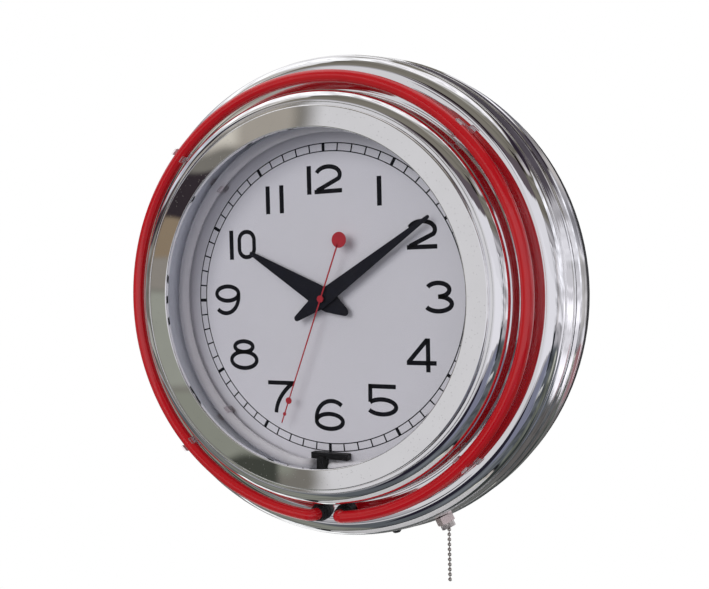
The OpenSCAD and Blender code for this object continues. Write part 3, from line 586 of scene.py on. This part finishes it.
def bezel():
    """Flat ring with rolled edges that holds the glass down."""
    lip = 1.6
    outline = rounded([
        (BEZEL_R, SHOULDER_Z + 0.1, 0.4),
        (BEZEL_R, BEZEL_Z, 1.3),
        (OPENING_R, BEZEL_Z, 1.0),
        (OPENING_R, LENS_FRONT + 0.1, 0.3),
        (OPENING_R + lip, LENS_FRONT + 0.1, 0.3),
        (OPENING_R + lip, BEZEL_Z - 2, 0.4),
        (BEZEL_R - lip, BEZEL_Z - 2, 0.4),
        (BEZEL_R - lip, SHOULDER_Z + 0.1, 0.3),
    ], 9)
    Shape().lathe(outline, STAND, 320).piece("bezel", "clock", BEZEL, "plated_bezel", "bezel_ring")


def glass():
    """Flat glass disc with ground edges."""
    ground = 0.4
    middle = [(0, LENS_FRONT, 0), (0, LENS_BACK, 0)]
    rim = rounded(middle + [(LENS_R, LENS_BACK, ground), (LENS_R, LENS_FRONT, ground)], 15)
    rim = [p for p in rim if p[0].x > 1]
    outline = marked((0, LENS_BACK, 0, -1)) + rim + marked((0, LENS_FRONT, 0, 1))
    Shape().disc(outline, STAND, 192).piece("glass", "clock", LENS, "lens_glass", "lens")


def white_cup():
    """Painted pan round the dial, with the four tabs that screw it to the case."""
    floor_top = DIAL_Z - 1.2
    outline = rounded([
        (CUP_OUTER_R, CUP_FLOOR, 1.2),
        (CUP_OUTER_R, CUP_TOP, 0.3),
        (CUP_INNER_R, CUP_TOP, 0.5),
        (CUP_INNER_R, floor_top, 1.0),
        (BUSHING_HOLE, floor_top, 0.1),
        (BUSHING_HOLE, CUP_FLOOR, 0.1),
    ], 12)
    cup = Shape().lathe(outline, STAND, 224)
    cup.normals = []
    half, outer, corner, thick = 8, EAR_R + 5, 3, 2.4
    tab = [(-half, CUP_OUTER_R - 1)]
    tab += arc((corner - half, outer - corner), corner, corner, 180, 90, 5)
    tab += arc((half - corner, outer - corner), corner, corner, 90, 0, 5)
    tab.append((half, CUP_OUTER_R - 1))
    for angle in EAR_ANGLES:
        cup.prism(tab[::-1], CUP_FLOOR, CUP_FLOOR + thick, at_clock(angle))
    cup.piece("white_cup", "clock", WHITE_CUP, "white_reflector", "inner_reflector", sharp=40)


# ---------- dial ----------

# Widths of a straight bar and of a curved figure's stroke, and the ink's underside and top
BAR = 4.2
STROKE = 3.7
INK_LOW = DIAL_Z - 0.02
INK_TOP = DIAL_Z + 0.06


# Strokes of each figure about its own middle

def bar_at(x, height=24.1):
    return [[(x, -height / 2), (x, height / 2)]]


def two():
    return [arc((0, 3.2), 11.3, 7.1, 160, -28) + [(-10.6, -9.3)], [(-13.1, -10.25), (13.1, -10.25)]]


def three():
    return [arc((-0.3, 5.9), 9.6, 5.5, 155, -90), arc((0, -5.4), 11.2, 5.8, 90, -155)]


def four():
    post = [(5.75, -13.7), (5.75, 13.7)]
    return [post, [(-12.95, -6.3), (12.95, -6.3)], [(-11.6, -6.0), (5.0, 12.6)]]


def five():
    bowl = arc((-0.4, -5.4), 12.9, 6.2, 146, -153)
    return [[(-12.4, 11.6), (12.6, 11.6)], [(-10.6, 13.2), (-10.8, -1.6)], bowl]


def six():
    return [arc((2.2, -3.5), 14.9, 15.5, 50, 188), loop((0, -5.6), 12.65, 6.4)]


def seven():
    return [[(-13.35, 12.3), (13.35, 12.3)], bend((11.6, 12.3), (-4.6, 0), (-5.6, -14.1))]


def eight():
    return [loop((0, 7.25), 9.45, 4.7), loop((0, -4.7), 13.2, 7.25)]


def nine():
    """A 6 turned round and made a little narrower."""
    return [[(-0.92 * x, -y) for x, y in line] for line in six()]


def nought(x):
    """A 0: a rectangle with round corners."""
    half_w, half_h, r = 7.7, 11.1, 7.2
    line = []
    for sx, sy, start in ((1, 1, 0), (-1, 1, 90), (-1, -1, 180), (1, -1, 270)):
        line += arc((x + sx * (half_w - r), sy * (half_h - r)), r, r, start, start + 90, 7)
    return [line + line[:1]]


# Each hour's strokes, their width, the radius and clock angle of its middle, and how far
# sideways they are moved from there; the two-figure hours are in two parts
NUMERALS = [
    (bar_at(0), BAR, 101.2, 30.2, 0),
    (two(), STROKE, 101.1, 59.9, 0),
    (three(), STROKE, 100.7, 90, 0),
    (four(), STROKE, 97.2, 118.7, 0),
    (five(), STROKE, 98.2, 149.7, 0),
    (six(), STROKE, 99.2, 180, 0),
    (seven(), STROKE, 97.7, 209, 0),
    (eight(), STROKE, 98.2, 240, 0),
    (nine(), STROKE, 100.7, 270, 0),
    (bar_at(-11.9, 25.9), BAR, 96.2, 300.4, 0),
    (nought(4.1), STROKE, 96.2, 300.4, 0),
    (bar_at(-6.95) + bar_at(6.95), BAR, 99, 330.5, 0),
    (bar_at(-14.3), BAR, 100.45, 0, 0),
    (two(), STROKE, 100.45, 0, 3.85),
]


def dial_plate():
    """Plain disc with a hole for the movement's bushing."""
    outline = rounded([
        (DIAL_R, DIAL_BACK, 0.2),
        (DIAL_R, DIAL_Z, 0.3),
        (BUSHING_HOLE, DIAL_Z, 0.1),
        (BUSHING_HOLE, DIAL_BACK, 0.1),
    ], 30)
    Shape().lathe(outline, STAND, 192).piece("dial_plate", "clock", FACE, "dial_face", "dial")


def numerals():
    """The twelve hours, all upright."""
    ink = Shape()
    for strokes, width, r, angle, aside in NUMERALS:
        turn = radians(angle)
        middle = STAND @ Matrix.Translation((r * sin(turn) + aside, r * cos(turn), 0))
        for line in strokes:
            closed = line[0] == line[-1]
            ink.ribbon(line[:-1] if closed else line, width, INK_LOW, INK_TOP, middle, closed)
    ink.piece("dial_numerals", "clock", INK, "dial_face", sharp=40)


def minute_track():
    """Two thin circles with a tick between them at each minute, wide at the hours."""
    ink = Shape()
    inner_r, outer_r, half_line, edge = 123.8, 130.4, 0.45, 0.01
    for r in (inner_r, outer_r):
        corners = box_outline(r - half_line, r + half_line, INK_LOW, INK_TOP)
        circle = rounded([(x, z, edge) for x, z in corners[1:] + corners[:1]], 90)
        ink.lathe(circle, STAND, 240)
    ink.normals = []
    for minute in range(60):
        width = 2.8 if minute % 5 == 0 else 1.2
        ink.ribbon([(0, inner_r), (0, outer_r)], width, INK_LOW, INK_TOP, at_clock(minute * 6))
    ink.piece("minute_track", "clock", INK, "dial_face", sharp=40)


# ---------- neon rings ----------


def leg_turns(ring):
    """Math angles, from the bottom of the ring, of its left and right ends."""
    half = degrees(asin((LEG_GAP / 2 + BEND_R) / ring["r"]))
    return ring["turn"] - half, ring["turn"] + half


def ring_point(ring, turn):
    """Face-on place, outward direction and left-to-right direction at an angle from the bottom."""
    a = radians(turn)
    outward = Vector((sin(a), -cos(a), 0))
    across = Vector((cos(a), sin(a), 0))
    return outward * ring["r"], outward, across


def leg_place(ring, side):
    """Where a turned-back leg stands, face-on; side 0 is the left one."""
    point, outward, across = ring_point(ring, leg_turns(ring)[side])
    return point + across * (BEND_R - 0.3) * (1 if side == 0 else -1)


def ring_path(ring):
    """Stations along the tube: left leg, elbow, ring, elbow, right leg."""
    left, right = leg_turns(ring)
    up = Vector((0, 0, 1))
    stations = []
    for side, turn in ((0, left), (1, right)):
        point, outward, across = ring_point(ring, turn)
        inwards = across * (1 if side == 0 else -1)
        point = point + up * ring["z"]
        bent = []
        for k in range(9):
            a = radians(90 * k / 8)
            centre = point + inwards * BEND_R * sin(a) - up * BEND_R * (1 - cos(a))
            bent.append((centre, inwards * cos(a) - up * sin(a)))
        foot = Vector((bent[-1][0].x, bent[-1][0].y, ring["leg_end"]))
        bent += [(bent[-1][0] - up * 4, -up), (foot, -up)]
        if side == 0:
            stations += [(c, outward, -t) for c, t in bent[::-1]]
            steps = 200
            span = 360 - (right - left)
            for k in range(1, steps):
                p, out, along = ring_point(ring, left - span * k / steps)
                stations.append((p + up * ring["z"], out, -along))
        else:
            stations += [(c, outward, t) for c, t in bent]
    return stations


def tube(name, node_name, ring, material, slot):
    """Glass tube of one ring, with both its turned-back ends."""
    shape = Shape().sweep(ring_path(ring), ring["tube"], STAND, 32)
    shape.piece(name, "clock", material, slot, node_name)


def boots(name, node_name, ring, outline):
    """Rubber sleeves round both legs of a ring."""
    shape = Shape()
    for side in (0, 1):
        place = leg_place(ring, side)
        shape.lathe(rounded(outline, 12), STAND @ Matrix.Translation((place.x, place.y, 0)), 64)
    shape.piece(name, "clock", RUBBER, "black_rubber", node_name)


def outer_boots():
    """Sleeves that go through the channel, with a flange and a cuff in front of it."""
    low, neck, flange, bore = 54, 6.2, 7.9, TUBE_R - 0.1
    cuff, mouth = neck + 0.9, neck + 0.2
    boots("outer_boots", "outer_tube_boots", OUTER_RING, [
        (neck, low, 0.5),
        (neck, CHANNEL_Z + 0.05, 0.2),
        (flange, CHANNEL_Z + 0.05, 0.5),
        (flange, CHANNEL_Z + 4, 1.2),
        (cuff, CHANNEL_Z + 4.6, 0.8),
        (cuff, CHANNEL_Z + 6.6, 0.6),
        (mouth, CHANNEL_Z + 7.2, 0.3),
        (mouth, CHANNEL_Z + 10, 0.5),
        (bore, CHANNEL_Z + 10, 0.3),
        (bore, low, 0.3),
    ])


def inner_boots():
    """Plain sleeves behind the white pan."""
    low, top, neck, bore = 47, CUP_FLOOR - 0.1, 6.2, TUBE_R - 0.3
    corners = [(neck, low, 0.5), (neck, top, 0.6), (bore, top, 0.3), (bore, low, 0.3)]
    boots("inner_boots", "inner_tube_boots", INNER_RING, corners)


def clip_outline(low, ring_z, radius):
    """Side view of a tube clip: foot, post and an open collar with turned-out lips."""
    wall, gap, foot_half, foot_edge, foot_thick, post_half = 1.45, 0.06, 5, 1.0, 1.6, 1.6
    opening, post_side = radians(52), radians(-62)
    collar, inside = radius + wall, radius + gap
    tip = pi / 2 - opening
    right = [(post_half, low + foot_thick), (post_half, ring_z - collar - 0.2)]
    for k in range(13):
        a = post_side + (tip - post_side) * k / 12
        right.append((collar * cos(a), ring_z + collar * sin(a)))
    right.append((cos(tip) * (collar + 1.0), ring_z + sin(tip) * (collar + 0.9) + 0.8))
    right.append((cos(tip) * (collar - 0.4), ring_z + sin(tip) * (collar - 0.2) + 1.5))
    inner = []
    for k in range(25):
        a = tip - (TAU - 2 * opening) * k / 24
        inner.append((inside * cos(a), ring_z + inside * sin(a)))
    left = [(-x, y) for x, y in right[::-1]]
    foot = [(foot_half, low), (foot_half, low + foot_edge), (foot_half - 0.6, low + foot_thick)]
    foot_left = [(-x, y) for x, y in foot[::-1]]
    return foot_left[-1:] + foot + right + inner + left + foot_left[:-1]


def clips(name, node_name, ring, low):
    """Four clear spring clips, their sides square to the tube."""
    shape = Shape()
    half = 3
    upright = spin(90, "Z") @ spin(90, "X")
    for angle in CLIP_ANGLES:
        outline = clip_outline(low, ring["z"], ring["tube"])
        shape.prism(outline, -half, half, at_clock(angle, ring["r"]) @ upright)
    shape.piece(name, "clock", CLEAR, "clear_plastic", node_name, sharp=35, bevel=0.35)


def end_holder():
    """Black T-shaped holder between the inner ring's turned-back ends."""
    shape = Shape()
    middle, half_bar, bar_y, half_thick = 2.2, 17.5, -133.6, 2.8
    low, bar_high, stem_high = DIAL_Z + 0.02, DIAL_Z + 7, DIAL_Z + 11
    bar = box_outline(middle - half_bar, middle + half_bar, bar_y - half_thick, bar_y + half_thick)
    shape.prism(bar, low, bar_high, STAND)
    shape.prism(box_outline(-8, -1.6, -149.8, -133.8), low, stem_high, STAND)
    shape.piece("end_holder", "clock", PLASTIC, "black_plastic", "tube_end_bracket", sharp=30, bevel=0.5)


# ---------- hands ----------


def blade(tip, tip_r, waist, waist_y, tail, tail_r):
    """Outline of a tapered hand that points up, its tail down."""
    slope = degrees(atan2(waist - tip_r, tip - waist_y))
    right = arc((0, tip - tip_r), tip_r, tip_r, 90, slope, 6)
    left = [(-x, y) for x, y in right]
    back_slope = degrees(atan2(waist - tail_r, tail - waist_y))
    right_tail = arc((0, -tail + tail_r), tail_r, tail_r, -back_slope, -90, 6)
    left_tail = [(-x, y) for x, y in right_tail]
    beside = waist - 0.15
    waist_right = [(beside, waist_y), (waist, 0), (beside, -waist_y)]
    waist_left = [(-x, y) for x, y in waist_right]
    clockwise = right + waist_right + right_tail + left_tail[::-1][1:] + waist_left[::-1] + left[::-1][:-1]
    return clockwise[::-1]


def hand(name, outlines, low, thick, hub_r, hub_low, hub_high):
    """Flat plates and a round boss, turned to the time the hand shows."""
    place = STAND @ spin(-SHOWN[name], "Z")
    body = name.split("_")[0]
    material, slot = (HAND_RED, "red_hand") if body == "second" else (HAND_BLACK, "black_hands")
    shape = Shape()
    for outline in outlines:
        shape.prism(outline, low, low + thick, place)
    edge = 0.4
    shape.disc(marked(
        (0, hub_low, 0, -1),
        (hub_r, hub_low, 1, 0),
        (hub_r, hub_high - edge, 1, 0),
        (hub_r - edge, hub_high, 0, 1),
        (0, hub_high, 0, 1),
    ), place, 48)
    shape.normals = []
    shape.piece(name + "_plate", body, material, slot, name, sharp=35, bevel=0.12)


def hands():
    """Two black lozenge hands, and a thin red sweep hand with three discs."""
    hour_z = back("hour_hand") + 1.0
    minute_z = back("minute_hand") + 0.8
    second_z = back("second_hand")
    thick, second_thick = 0.6, 0.5
    hour = blade(83, 1.8, 9.2, 7, 26, 3.4)
    hand("hour_hand", [hour], hour_z, thick, 3.7, hour_z - 1, hour_z + 0.9)
    minute = blade(116.5, 1.5, 7, 7, 32, 2.6)
    hand("minute_hand", [minute], minute_z, thick, 2.9, minute_z - 0.8, minute_z + 0.9)
    shaft = [(-0.65, -48), (0.65, -48), (0.5, 114), (-0.5, 114)]
    discs = [(-52, 6.6), (93, 2.9), (105.5, 1.6)]
    outlines = [shaft] + [arc((0, y), r, r, 0, 360, 40)[:-1] for y, r in discs]
    hand("second_hand", outlines, second_z, second_thick, 3, second_z, second_z + 1.4)


# ---------- pull switch ----------


def hex_ring(name, flats, bore, low, high, material, slot, node_name, turn=0, mouth=0.0):
    """Six-sided nut with chamfered corners; mouth widens the outer end of its round bore."""
    sides, chamfer, cut = 72, 0.5, 0.94
    corner_r = flats / 2 / cos(radians(30))
    rings = []
    for height, share in ((low, cut), (low + chamfer, 1.0), (high - chamfer, 1.0), (high, cut)):
        ring = []
        for k in range(sides):
            a = TAU * k / sides
            inside = (degrees(a) + 30 + turn) % 60 - 30
            r = flats / 2 / cos(radians(inside))
            ring.append((min(r, corner_r * share), a, height))
        rings.append(ring)
    for height, bore_r in ((high, bore + mouth), (high - max(mouth, 0.3), bore), (low, bore)):
        rings.append([(bore_r, TAU * k / sides, height) for k in range(sides)])
    points = [(r * cos(a), r * sin(a), z) for ring in rings for r, a, z in ring]
    shape = Shape().add(points, grid_faces(len(rings), sides, True, True), on_switch_axis())
    shape.piece(name, "clock", material, slot, node_name, sharp=14)


def bead_string(name, node_name, body, drops, pin_from, pin_to):
    """Hollow balls on a thin pin, turned as one outline about the hanging line."""
    neck = asin(CHAIN_PIN_R / BEAD_R)
    steps, seam = 16, 0.93
    line = marked((0, pin_to, 0, -1), (CHAIN_PIN_R, pin_to, 1, 0))
    for drop in sorted(drops, reverse=True):
        for k in range(steps + 1):
            a = -pi / 2 + neck + (pi - 2 * neck) * k / steps
            share = seam if k == steps // 2 else 1.0
            out = Vector((cos(a), sin(a)))
            line.append((Vector((out.x * BEAD_R * share, out.y * BEAD_R - drop)), out))
    line += marked((CHAIN_PIN_R, pin_from, 1, 0), (0, pin_from, 0, 1))
    turn = radians(SWITCH_ANGLE)
    mouth = Vector((BELL_TO * sin(turn), -SWITCH_Z, BELL_TO * cos(turn))) * MM
    shape = Shape().disc(line, Matrix.Translation(mouth) @ Matrix.Scale(MM, 4), 32)
    shape.piece(name, body, CHAIN, "nickel_chain", node_name)


def pull_switch():
    """Hexagonal neck and bell on the side wall, and the bead chain in its three bodies."""
    hex_ring("switch_nut", 13.2, 4.95, COLLAR_FROM, COLLAR_TO, COLLAR, "nickel_collar", "switch_collar")
    hex_ring("switch_bell", 11.6, 3.4, BELL_FROM, BELL_TO, NICKEL, "nickel", "chain_bell", 30, 1.6)
    top, gap = 3.5, 0.1
    second = LINK_DROP + BEAD_PITCH
    rest = [second + i * BEAD_PITCH for i in range(1, BEAD_COUNT + 1)]
    first_end, second_end, chain_end = (-drop - BEAD_R for drop in (LINK_DROP, second, rest[-1]))
    bead_string("chain_first", "pull_link", "pull", [LINK_DROP], top, first_end)
    bead_string("chain_second", "chain_knuckle", "knuckle", [second], first_end - gap, second_end)
    bead_string("chain_rest", "pull_chain", "chain", rest, second_end - gap, chain_end)


# ---------- CAD nodes that stay ----------

KEPT = (
    (COVER, "back_cover"),
    (PLASTIC, "battery_hatch power_supply_box power_supply_lid movement_case movement_cover"),
    (ZINC, "hanger_plate reflector_screws power_supply_screws switch_bracket stator"),
    (RUBBER, "cord_gland movement_washer"),
    (SCREW, "cover_screws bracket_screw"),
    (RED_WIRE, "outer_tube_leads"),
    (WHITE_WIRE, "inner_tube_leads"),
    (COPPER, "supply_transformer drive_coil"),
    (BAKELITE, "switch_body switch_cap"),
    (MOULDED, "switch_cam hour_wheel setting_wheel set_knob"),
    (BLACK_WIRE, "switch_leads"),
    (BRASS, "movement_nut step_wheel second_arbor minute_arbor"),
    (BOARD, "circuit_board"),
    (MAGNET, "rotor"),
    (SLEEVE, "battery"),
    (NICKEL, "battery_contacts"),
)


def keep_nodes():
    """Gives the CAD nodes that are shown as they are their surfaces."""
    for material, names in KEPT:
        for name in names.split():
            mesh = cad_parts[name].data
            mesh.materials.clear()
            mesh.materials.append(material)


# ---------- studio ----------

# Softly lit patches of the room, later over earlier: azimuth of the middle from the front
# towards +X, its elevation, width, height, lean (rise per degree of azimuth), edge softness
# (in degrees) and colour
ROOM = [
    # dark floor, darker straight below; ceiling, bright straight above
    (0, -48, 360, 62, 0, 4, "54585c"),
    (0, -78, 360, 20, 0, 6, "6a6b67"),
    (0, -62, 360, 3, 0, 1, "26282a"),
    (0, -66.5, 360, 4, 0, 1.5, "c4c3b6"),
    (0, 44, 360, 44, 0, 4, "757168"),
    (0, 68, 360, 14, 0, 6, "9c9a95"),
    (0, 84, 360, 24, 0, 6, "f6f4f6"),
    # long pale screen on the right: dark edges above and below it, then its lit face
    (-7, 20, 20, 12, 0, 1, "1f191c"),
    (22, 26, 50, 12, 0.25, 1.5, "585055"),
    (52, 40, 16, 8, 0, 1.5, "1c1517"),
    (-7, -23, 30, 17, 0, 1, "211f2a"),
    (30, -28, 44, 22, 0, 2, "737586"),
    (16, -47, 44, 14, 0, 3, "696d72"),
    (85, -66, 40, 5, 0, 1.5, "b0aaa4"),
    (74, 2, 192, 24, 0, 1, "d2d1d6"),
    (22, 13, 50, 14, 0.25, 1.5, "d3d2d7"),
    (26, -5.5, 60, 18, -0.1, 1, "d9d8dd"),
    (-21, 1, 19, 31, 0, 0.4, "c8c7c9"),
    (-16, 14.5, 10, 9, -0.6, 1, "5c5458"),
    (48, -25, 22, 6, 0.2, 1.5, "8f93a2"),
    (59, -18, 14, 12, 0, 1.5, "2f3236"),
    (58, -31, 24, 3, 0, 1, "cfcfce"),
    (63, 2, 3, 26, 0, 0.8, "29272c"),
    (74, 1, 12, 24, 0, 1.5, "b4b0b2"),
    # far right: window, its dark lintel, wall below
    (112, 18, 34, 36, 0, 2, "f0f0f6"),
    (90, 21, 9, 8, 0, 1.5, "7c787c"),
    (84, 43, 26, 8, 0, 2, "b0abae"),
    (148, -8, 40, 26, -0.2, 2, "f4f2f8"),
    (108, -40, 44, 40, 0, 4, "63665f"),
    (108, -24, 18, 10, 0, 2, "b0b1a8"),
    (152, -54, 50, 36, 0, 3, "343938"),
    (140, 41, 84, 12, -0.12, 2, "2f2832"),
    (135, 64, 90, 26, 0, 4, "f6f4f8"),
    # behind the wall side, from top to bottom
    (-138, 36, 46, 52, 0, 3, "e6e5e6"),
    (170, 27, 60, 14, 0, 2, "504b52"),
    (180, 16, 16, 5, 0, 1, "a8a4a2"),
    (-169, 17, 13, 7, 0, 1.5, "6a6970"),
    (171, 9, 14, 7, 0, 1, "85848a"),
    (170, -1, 14, 11, 0, 1, "bab8b8"),
    (173, -12, 12, 7, 0, 1, "90686c"),
    (177, -30, 36, 28, 0, 2, "5d5a59"),
    (-167, -34, 24, 42, 0, 2, "5d5e5c"),
    (-100, -78, 80, 14, 0, 2, "55564f"),
    # left: bright windows above and below, pale wall, dark shelf
    (-82, 56, 84, 50, 0, 3, "fefeff"),
    (-84, 27, 48, 16, 0, 2, "c3c6cf"),
    (-124, 24, 24, 16, 0, 2, "9b999f"),
    (-50, 22, 12, 16, 0, 1.5, "2b292e"),
    (-54, 40, 26, 12, 0, 2, "bcb8b4"),
    (-103, -28, 50, 26, 0, 3, "696866"),
    (-115, -50, 70, 18, 0, 2, "fbfcfb"),
    (-139, -34, 18, 24, 0, 2, "f2f2f2"),
    (-50, -42, 38, 40, 0, 4, "7a7c74"),
    (-62, 1, 66, 30, 0, 2, "6f6c66"),
    (-72, 13, 62, 7, 0.04, 1.5, "41353a"),
    (-92, 5, 40, 7, 0, 2, "8a8986"),
    (-66, -7, 36, 5, 0, 1.5, "a3a29c"),
    # what stands beside the left edge of the screen, from top to bottom
    (-38, 12, 16, 7, 0, 1, "9a948b"),
    (-35, 11, 3, 5, 0, 1, "c2bdb3"),
    (-39, 5.4, 15, 3.4, 0, 0.5, "2f292d"),
    (-40, 2.8, 15, 2.2, 0, 0.5, "827360"),
    (-40, 0.8, 15, 2, 0, 0.5, "837e77"),
    (-40, -3.6, 15, 6.4, 0, 0.8, "8c8e85"),
    (-43, -5, 7, 5, 0, 1, "5a5a57"),
    (-38, -9.6, 15, 5, 0, 0.6, "808278"),
    (-35.6, -13, 8.6, 3.6, 0, 0.6, "3d3f39"),
]
ROOM_BASE = "a2a0a4"
ROOM_LIGHT = 1.2
# Degrees by which a noise pushes the patches' edges about, and its scale
ROOM_RIPPLE = 2.4
ROOM_RIPPLE_SCALE = 14
# Least and greatest light in the streaks, their change per degree sideways and upward, and
# their rise per degree of azimuth
STREAK_LIGHT = (0.72, 1.42)
STREAK_TURN = 0.016
STREAK_RISE = 0.24
STREAK_LEAN = 0.08
# Part of the streaks' noise that is spread over the light, and how nearly straight ahead they
# have gone and are whole
STREAK_NOISE = (0.36, 0.64)
STREAK_AHEAD = (0.76, 0.6)

KEY_POWER = 31.5
KEY_SIZE = 1.8
KEY_PLACE = (-0.7, -2.6, 0.9)
FLOOR_DROP = 2.4
FLOOR_R = 1.1
FLOOR_THICK = 0.02

# Where the camera looks from, in degrees, and its distance and offsets from its aim, in metres
CAMERA_AZIMUTH = 26.69
CAMERA_ELEVATION = 3.07
CAMERA_ROLL = -1.33
CAMERA_DISTANCE = 0.7525952
CAMERA_RIGHT = 0.01662464
CAMERA_DOWN = 0.02425728
CAMERA_AIM = (0, -0.061, 0)
CAMERA_LENS = 44.84
CAMERA_SHIFT = (0.0077, 0.0457)


def studio():
    """White behind the clock as the camera sees it, and a room of soft patches in reflections."""
    world = bpy.data.worlds.new("studio")
    bpy.context.scene.world = world
    world.use_nodes = True
    tree = world.node_tree
    tree.nodes.clear()
    view = node(tree, "TexCoord").outputs["Generated"]
    way = node(tree, "SeparateXYZ", {0: view}).outputs
    noisy = {"Vector": view, "Scale": ROOM_RIPPLE_SCALE, "Detail": 1.0}
    ripple = node(tree, "TexNoise", noisy).outputs["Color"]
    swing = node(tree, "SeparateXYZ", {0: ripple}).outputs

    def rippled(angle, wobble):
        """The angle in degrees pushed about by a noise, so that patches have uneven edges."""
        off = math_of(tree, "SUBTRACT", wobble, 0.5)
        return math_of(tree, "MULTIPLY_ADD", off, ROOM_RIPPLE, math_of(tree, "DEGREES", angle))

    forward = math_of(tree, "MULTIPLY", way[1], -1.0)
    azimuth = rippled(math_of(tree, "ARCTAN2", way[0], forward), swing[0])
    elevation = rippled(math_of(tree, "ARCSINE", way[2]), swing[1])

    def beside(middle):
        """Degrees of azimuth from a middle, from -180 to 180."""
        return math_of(tree, "WRAP", math_of(tree, "SUBTRACT", azimuth, middle), 180.0, -180.0)

    def inside(off, size, soft):
        """One within half a size of zero, fading to none over the soft edge."""
        away = math_of(tree, "ABSOLUTE", off)
        return remap(tree, away, size / 2 + soft / 2, size / 2 - soft / 2, 0, 1, "SMOOTHSTEP")

    def clutter():
        """Light strength with long uneven streaks, none straight in front of the clock."""
        across = math_of(tree, "MULTIPLY", azimuth, STREAK_TURN)
        leant = math_of(tree, "MULTIPLY_ADD", azimuth, STREAK_LEAN, elevation)
        upward = math_of(tree, "MULTIPLY", leant, STREAK_RISE)
        spot = node(tree, "CombineXYZ", {0: across, 1: upward}).outputs[0]
        streaks = node(tree, "TexNoise", {"Vector": spot, "Scale": 1.0, "Detail": 2.0})
        uneven = remap(tree, streaks.outputs["Fac"], *STREAK_NOISE, *STREAK_LIGHT)
        aside = remap(tree, forward, *STREAK_AHEAD, 0, 1)
        inputs = {"Factor": aside, "A": ROOM_LIGHT, "B": uneven}
        return node(tree, "Mix", inputs, data_type="FLOAT").outputs[0]

    colour = node(tree, "RGB").outputs[0]
    colour.default_value = rgb(ROOM_BASE)
    for middle, height, width, tall, lean, soft, shade in ROOM:
        level = elevation
        if lean:
            level = math_of(tree, "MULTIPLY_ADD", beside(middle), -lean, elevation)
        cover = inside(math_of(tree, "SUBTRACT", level, height), tall, soft)
        if width < 360:
            cover = math_of(tree, "MULTIPLY", cover, inside(beside(middle), width, soft))
        colour = mix_of(tree, cover, colour, rgb(shade))
    room = node(tree, "Background", {"Color": colour, "Strength": clutter()}).outputs[0]
    seen = node(tree, "Background", {"Color": (1, 1, 1, 1), "Strength": 1.0}).outputs[0]
    direct = node(tree, "LightPath").outputs["Is Camera Ray"]
    mixed = node(tree, "MixShader", {0: direct, 1: room, 2: seen}).outputs[0]
    node(tree, "OutputWorld", {"Surface": mixed})
    bpy.context.scene.view_settings.view_transform = "Standard"


def key_light():
    """Broad soft lamp in front, up and to the left; polished parts mirror the room, not the lamp."""
    data = bpy.data.lights.new("key", "AREA")
    data.shape = "DISK"
    data.size = KEY_SIZE
    data.energy = KEY_POWER
    made = bpy.data.objects.new("key", data)
    made.visible_glossy = False
    made.location = KEY_PLACE
    made.rotation_euler = (-Vector(made.location)).to_track_quat("-Z", "Y").to_euler()
    bpy.context.scene.collection.objects.link(made)


def pale_floor():
    """Round floor far below the clock."""
    outline = marked((0, -FLOOR_THICK, 0, -1), (FLOOR_R, -FLOOR_THICK, 0, -1))
    outline += marked((FLOOR_R, 0, 0, 1), (0, 0, 0, 1))
    shape = Shape().disc(outline, Matrix.Translation((0, 0, -FLOOR_DROP)), 96)
    mesh = bpy.data.meshes.new("floor")
    mesh.from_pydata([tuple(p) for p in shape.points], [], shape.faces)
    mesh.materials.append(finish_of("floor", "ececec", (0.6, 0.7), (0.01, 3), (0.05, 200)))
    made = bpy.data.objects.new("floor", mesh)
    bpy.context.scene.collection.objects.link(made)


def camera():
    """Looks at the dial from its right and a little above, close by."""
    azimuth, elevation, roll = (radians(a) for a in (CAMERA_AZIMUTH, CAMERA_ELEVATION, CAMERA_ROLL))
    flat = Vector((sin(azimuth), -cos(azimuth), 0)) * cos(elevation)
    toward = flat + Vector((0, 0, sin(elevation)))
    level = Vector((cos(azimuth), sin(azimuth), 0))
    upright = toward.cross(level)
    side = level * cos(roll) + upright * sin(roll)
    up = upright * cos(roll) - level * sin(roll)
    place = toward * CAMERA_DISTANCE + side * CAMERA_RIGHT - up * CAMERA_DOWN + Vector(CAMERA_AIM)
    data = bpy.data.cameras.new("camera")
    data.lens = CAMERA_LENS
    data.sensor_width = 36
    data.shift_x, data.shift_y = CAMERA_SHIFT
    made = bpy.data.objects.new("camera", data)
    made.matrix_world = Matrix.Translation(place) @ Matrix((side, up, toward)).transposed().to_4x4()
    bpy.context.scene.collection.objects.link(made)
    bpy.context.scene.camera = made


plated_shell()
bezel()
glass()
white_cup()
dial_plate()
numerals()
minute_track()
tube("outer_tube", "outer_neon_tube", OUTER_RING, RED_GLASS, "red_glass")
tube("inner_tube", "inner_neon_tube", INNER_RING, WHITE_GLASS, "white_glass")
outer_boots()
inner_boots()
clips("outer_clips", "outer_tube_clips", OUTER_RING, CHANNEL_Z + 0.02)
clips("inner_clips", "inner_tube_clips", INNER_RING, DIAL_Z + 0.02)
end_holder()
hands()
pull_switch()
keep_nodes()
pale_floor()
studio()
key_light()
camera()
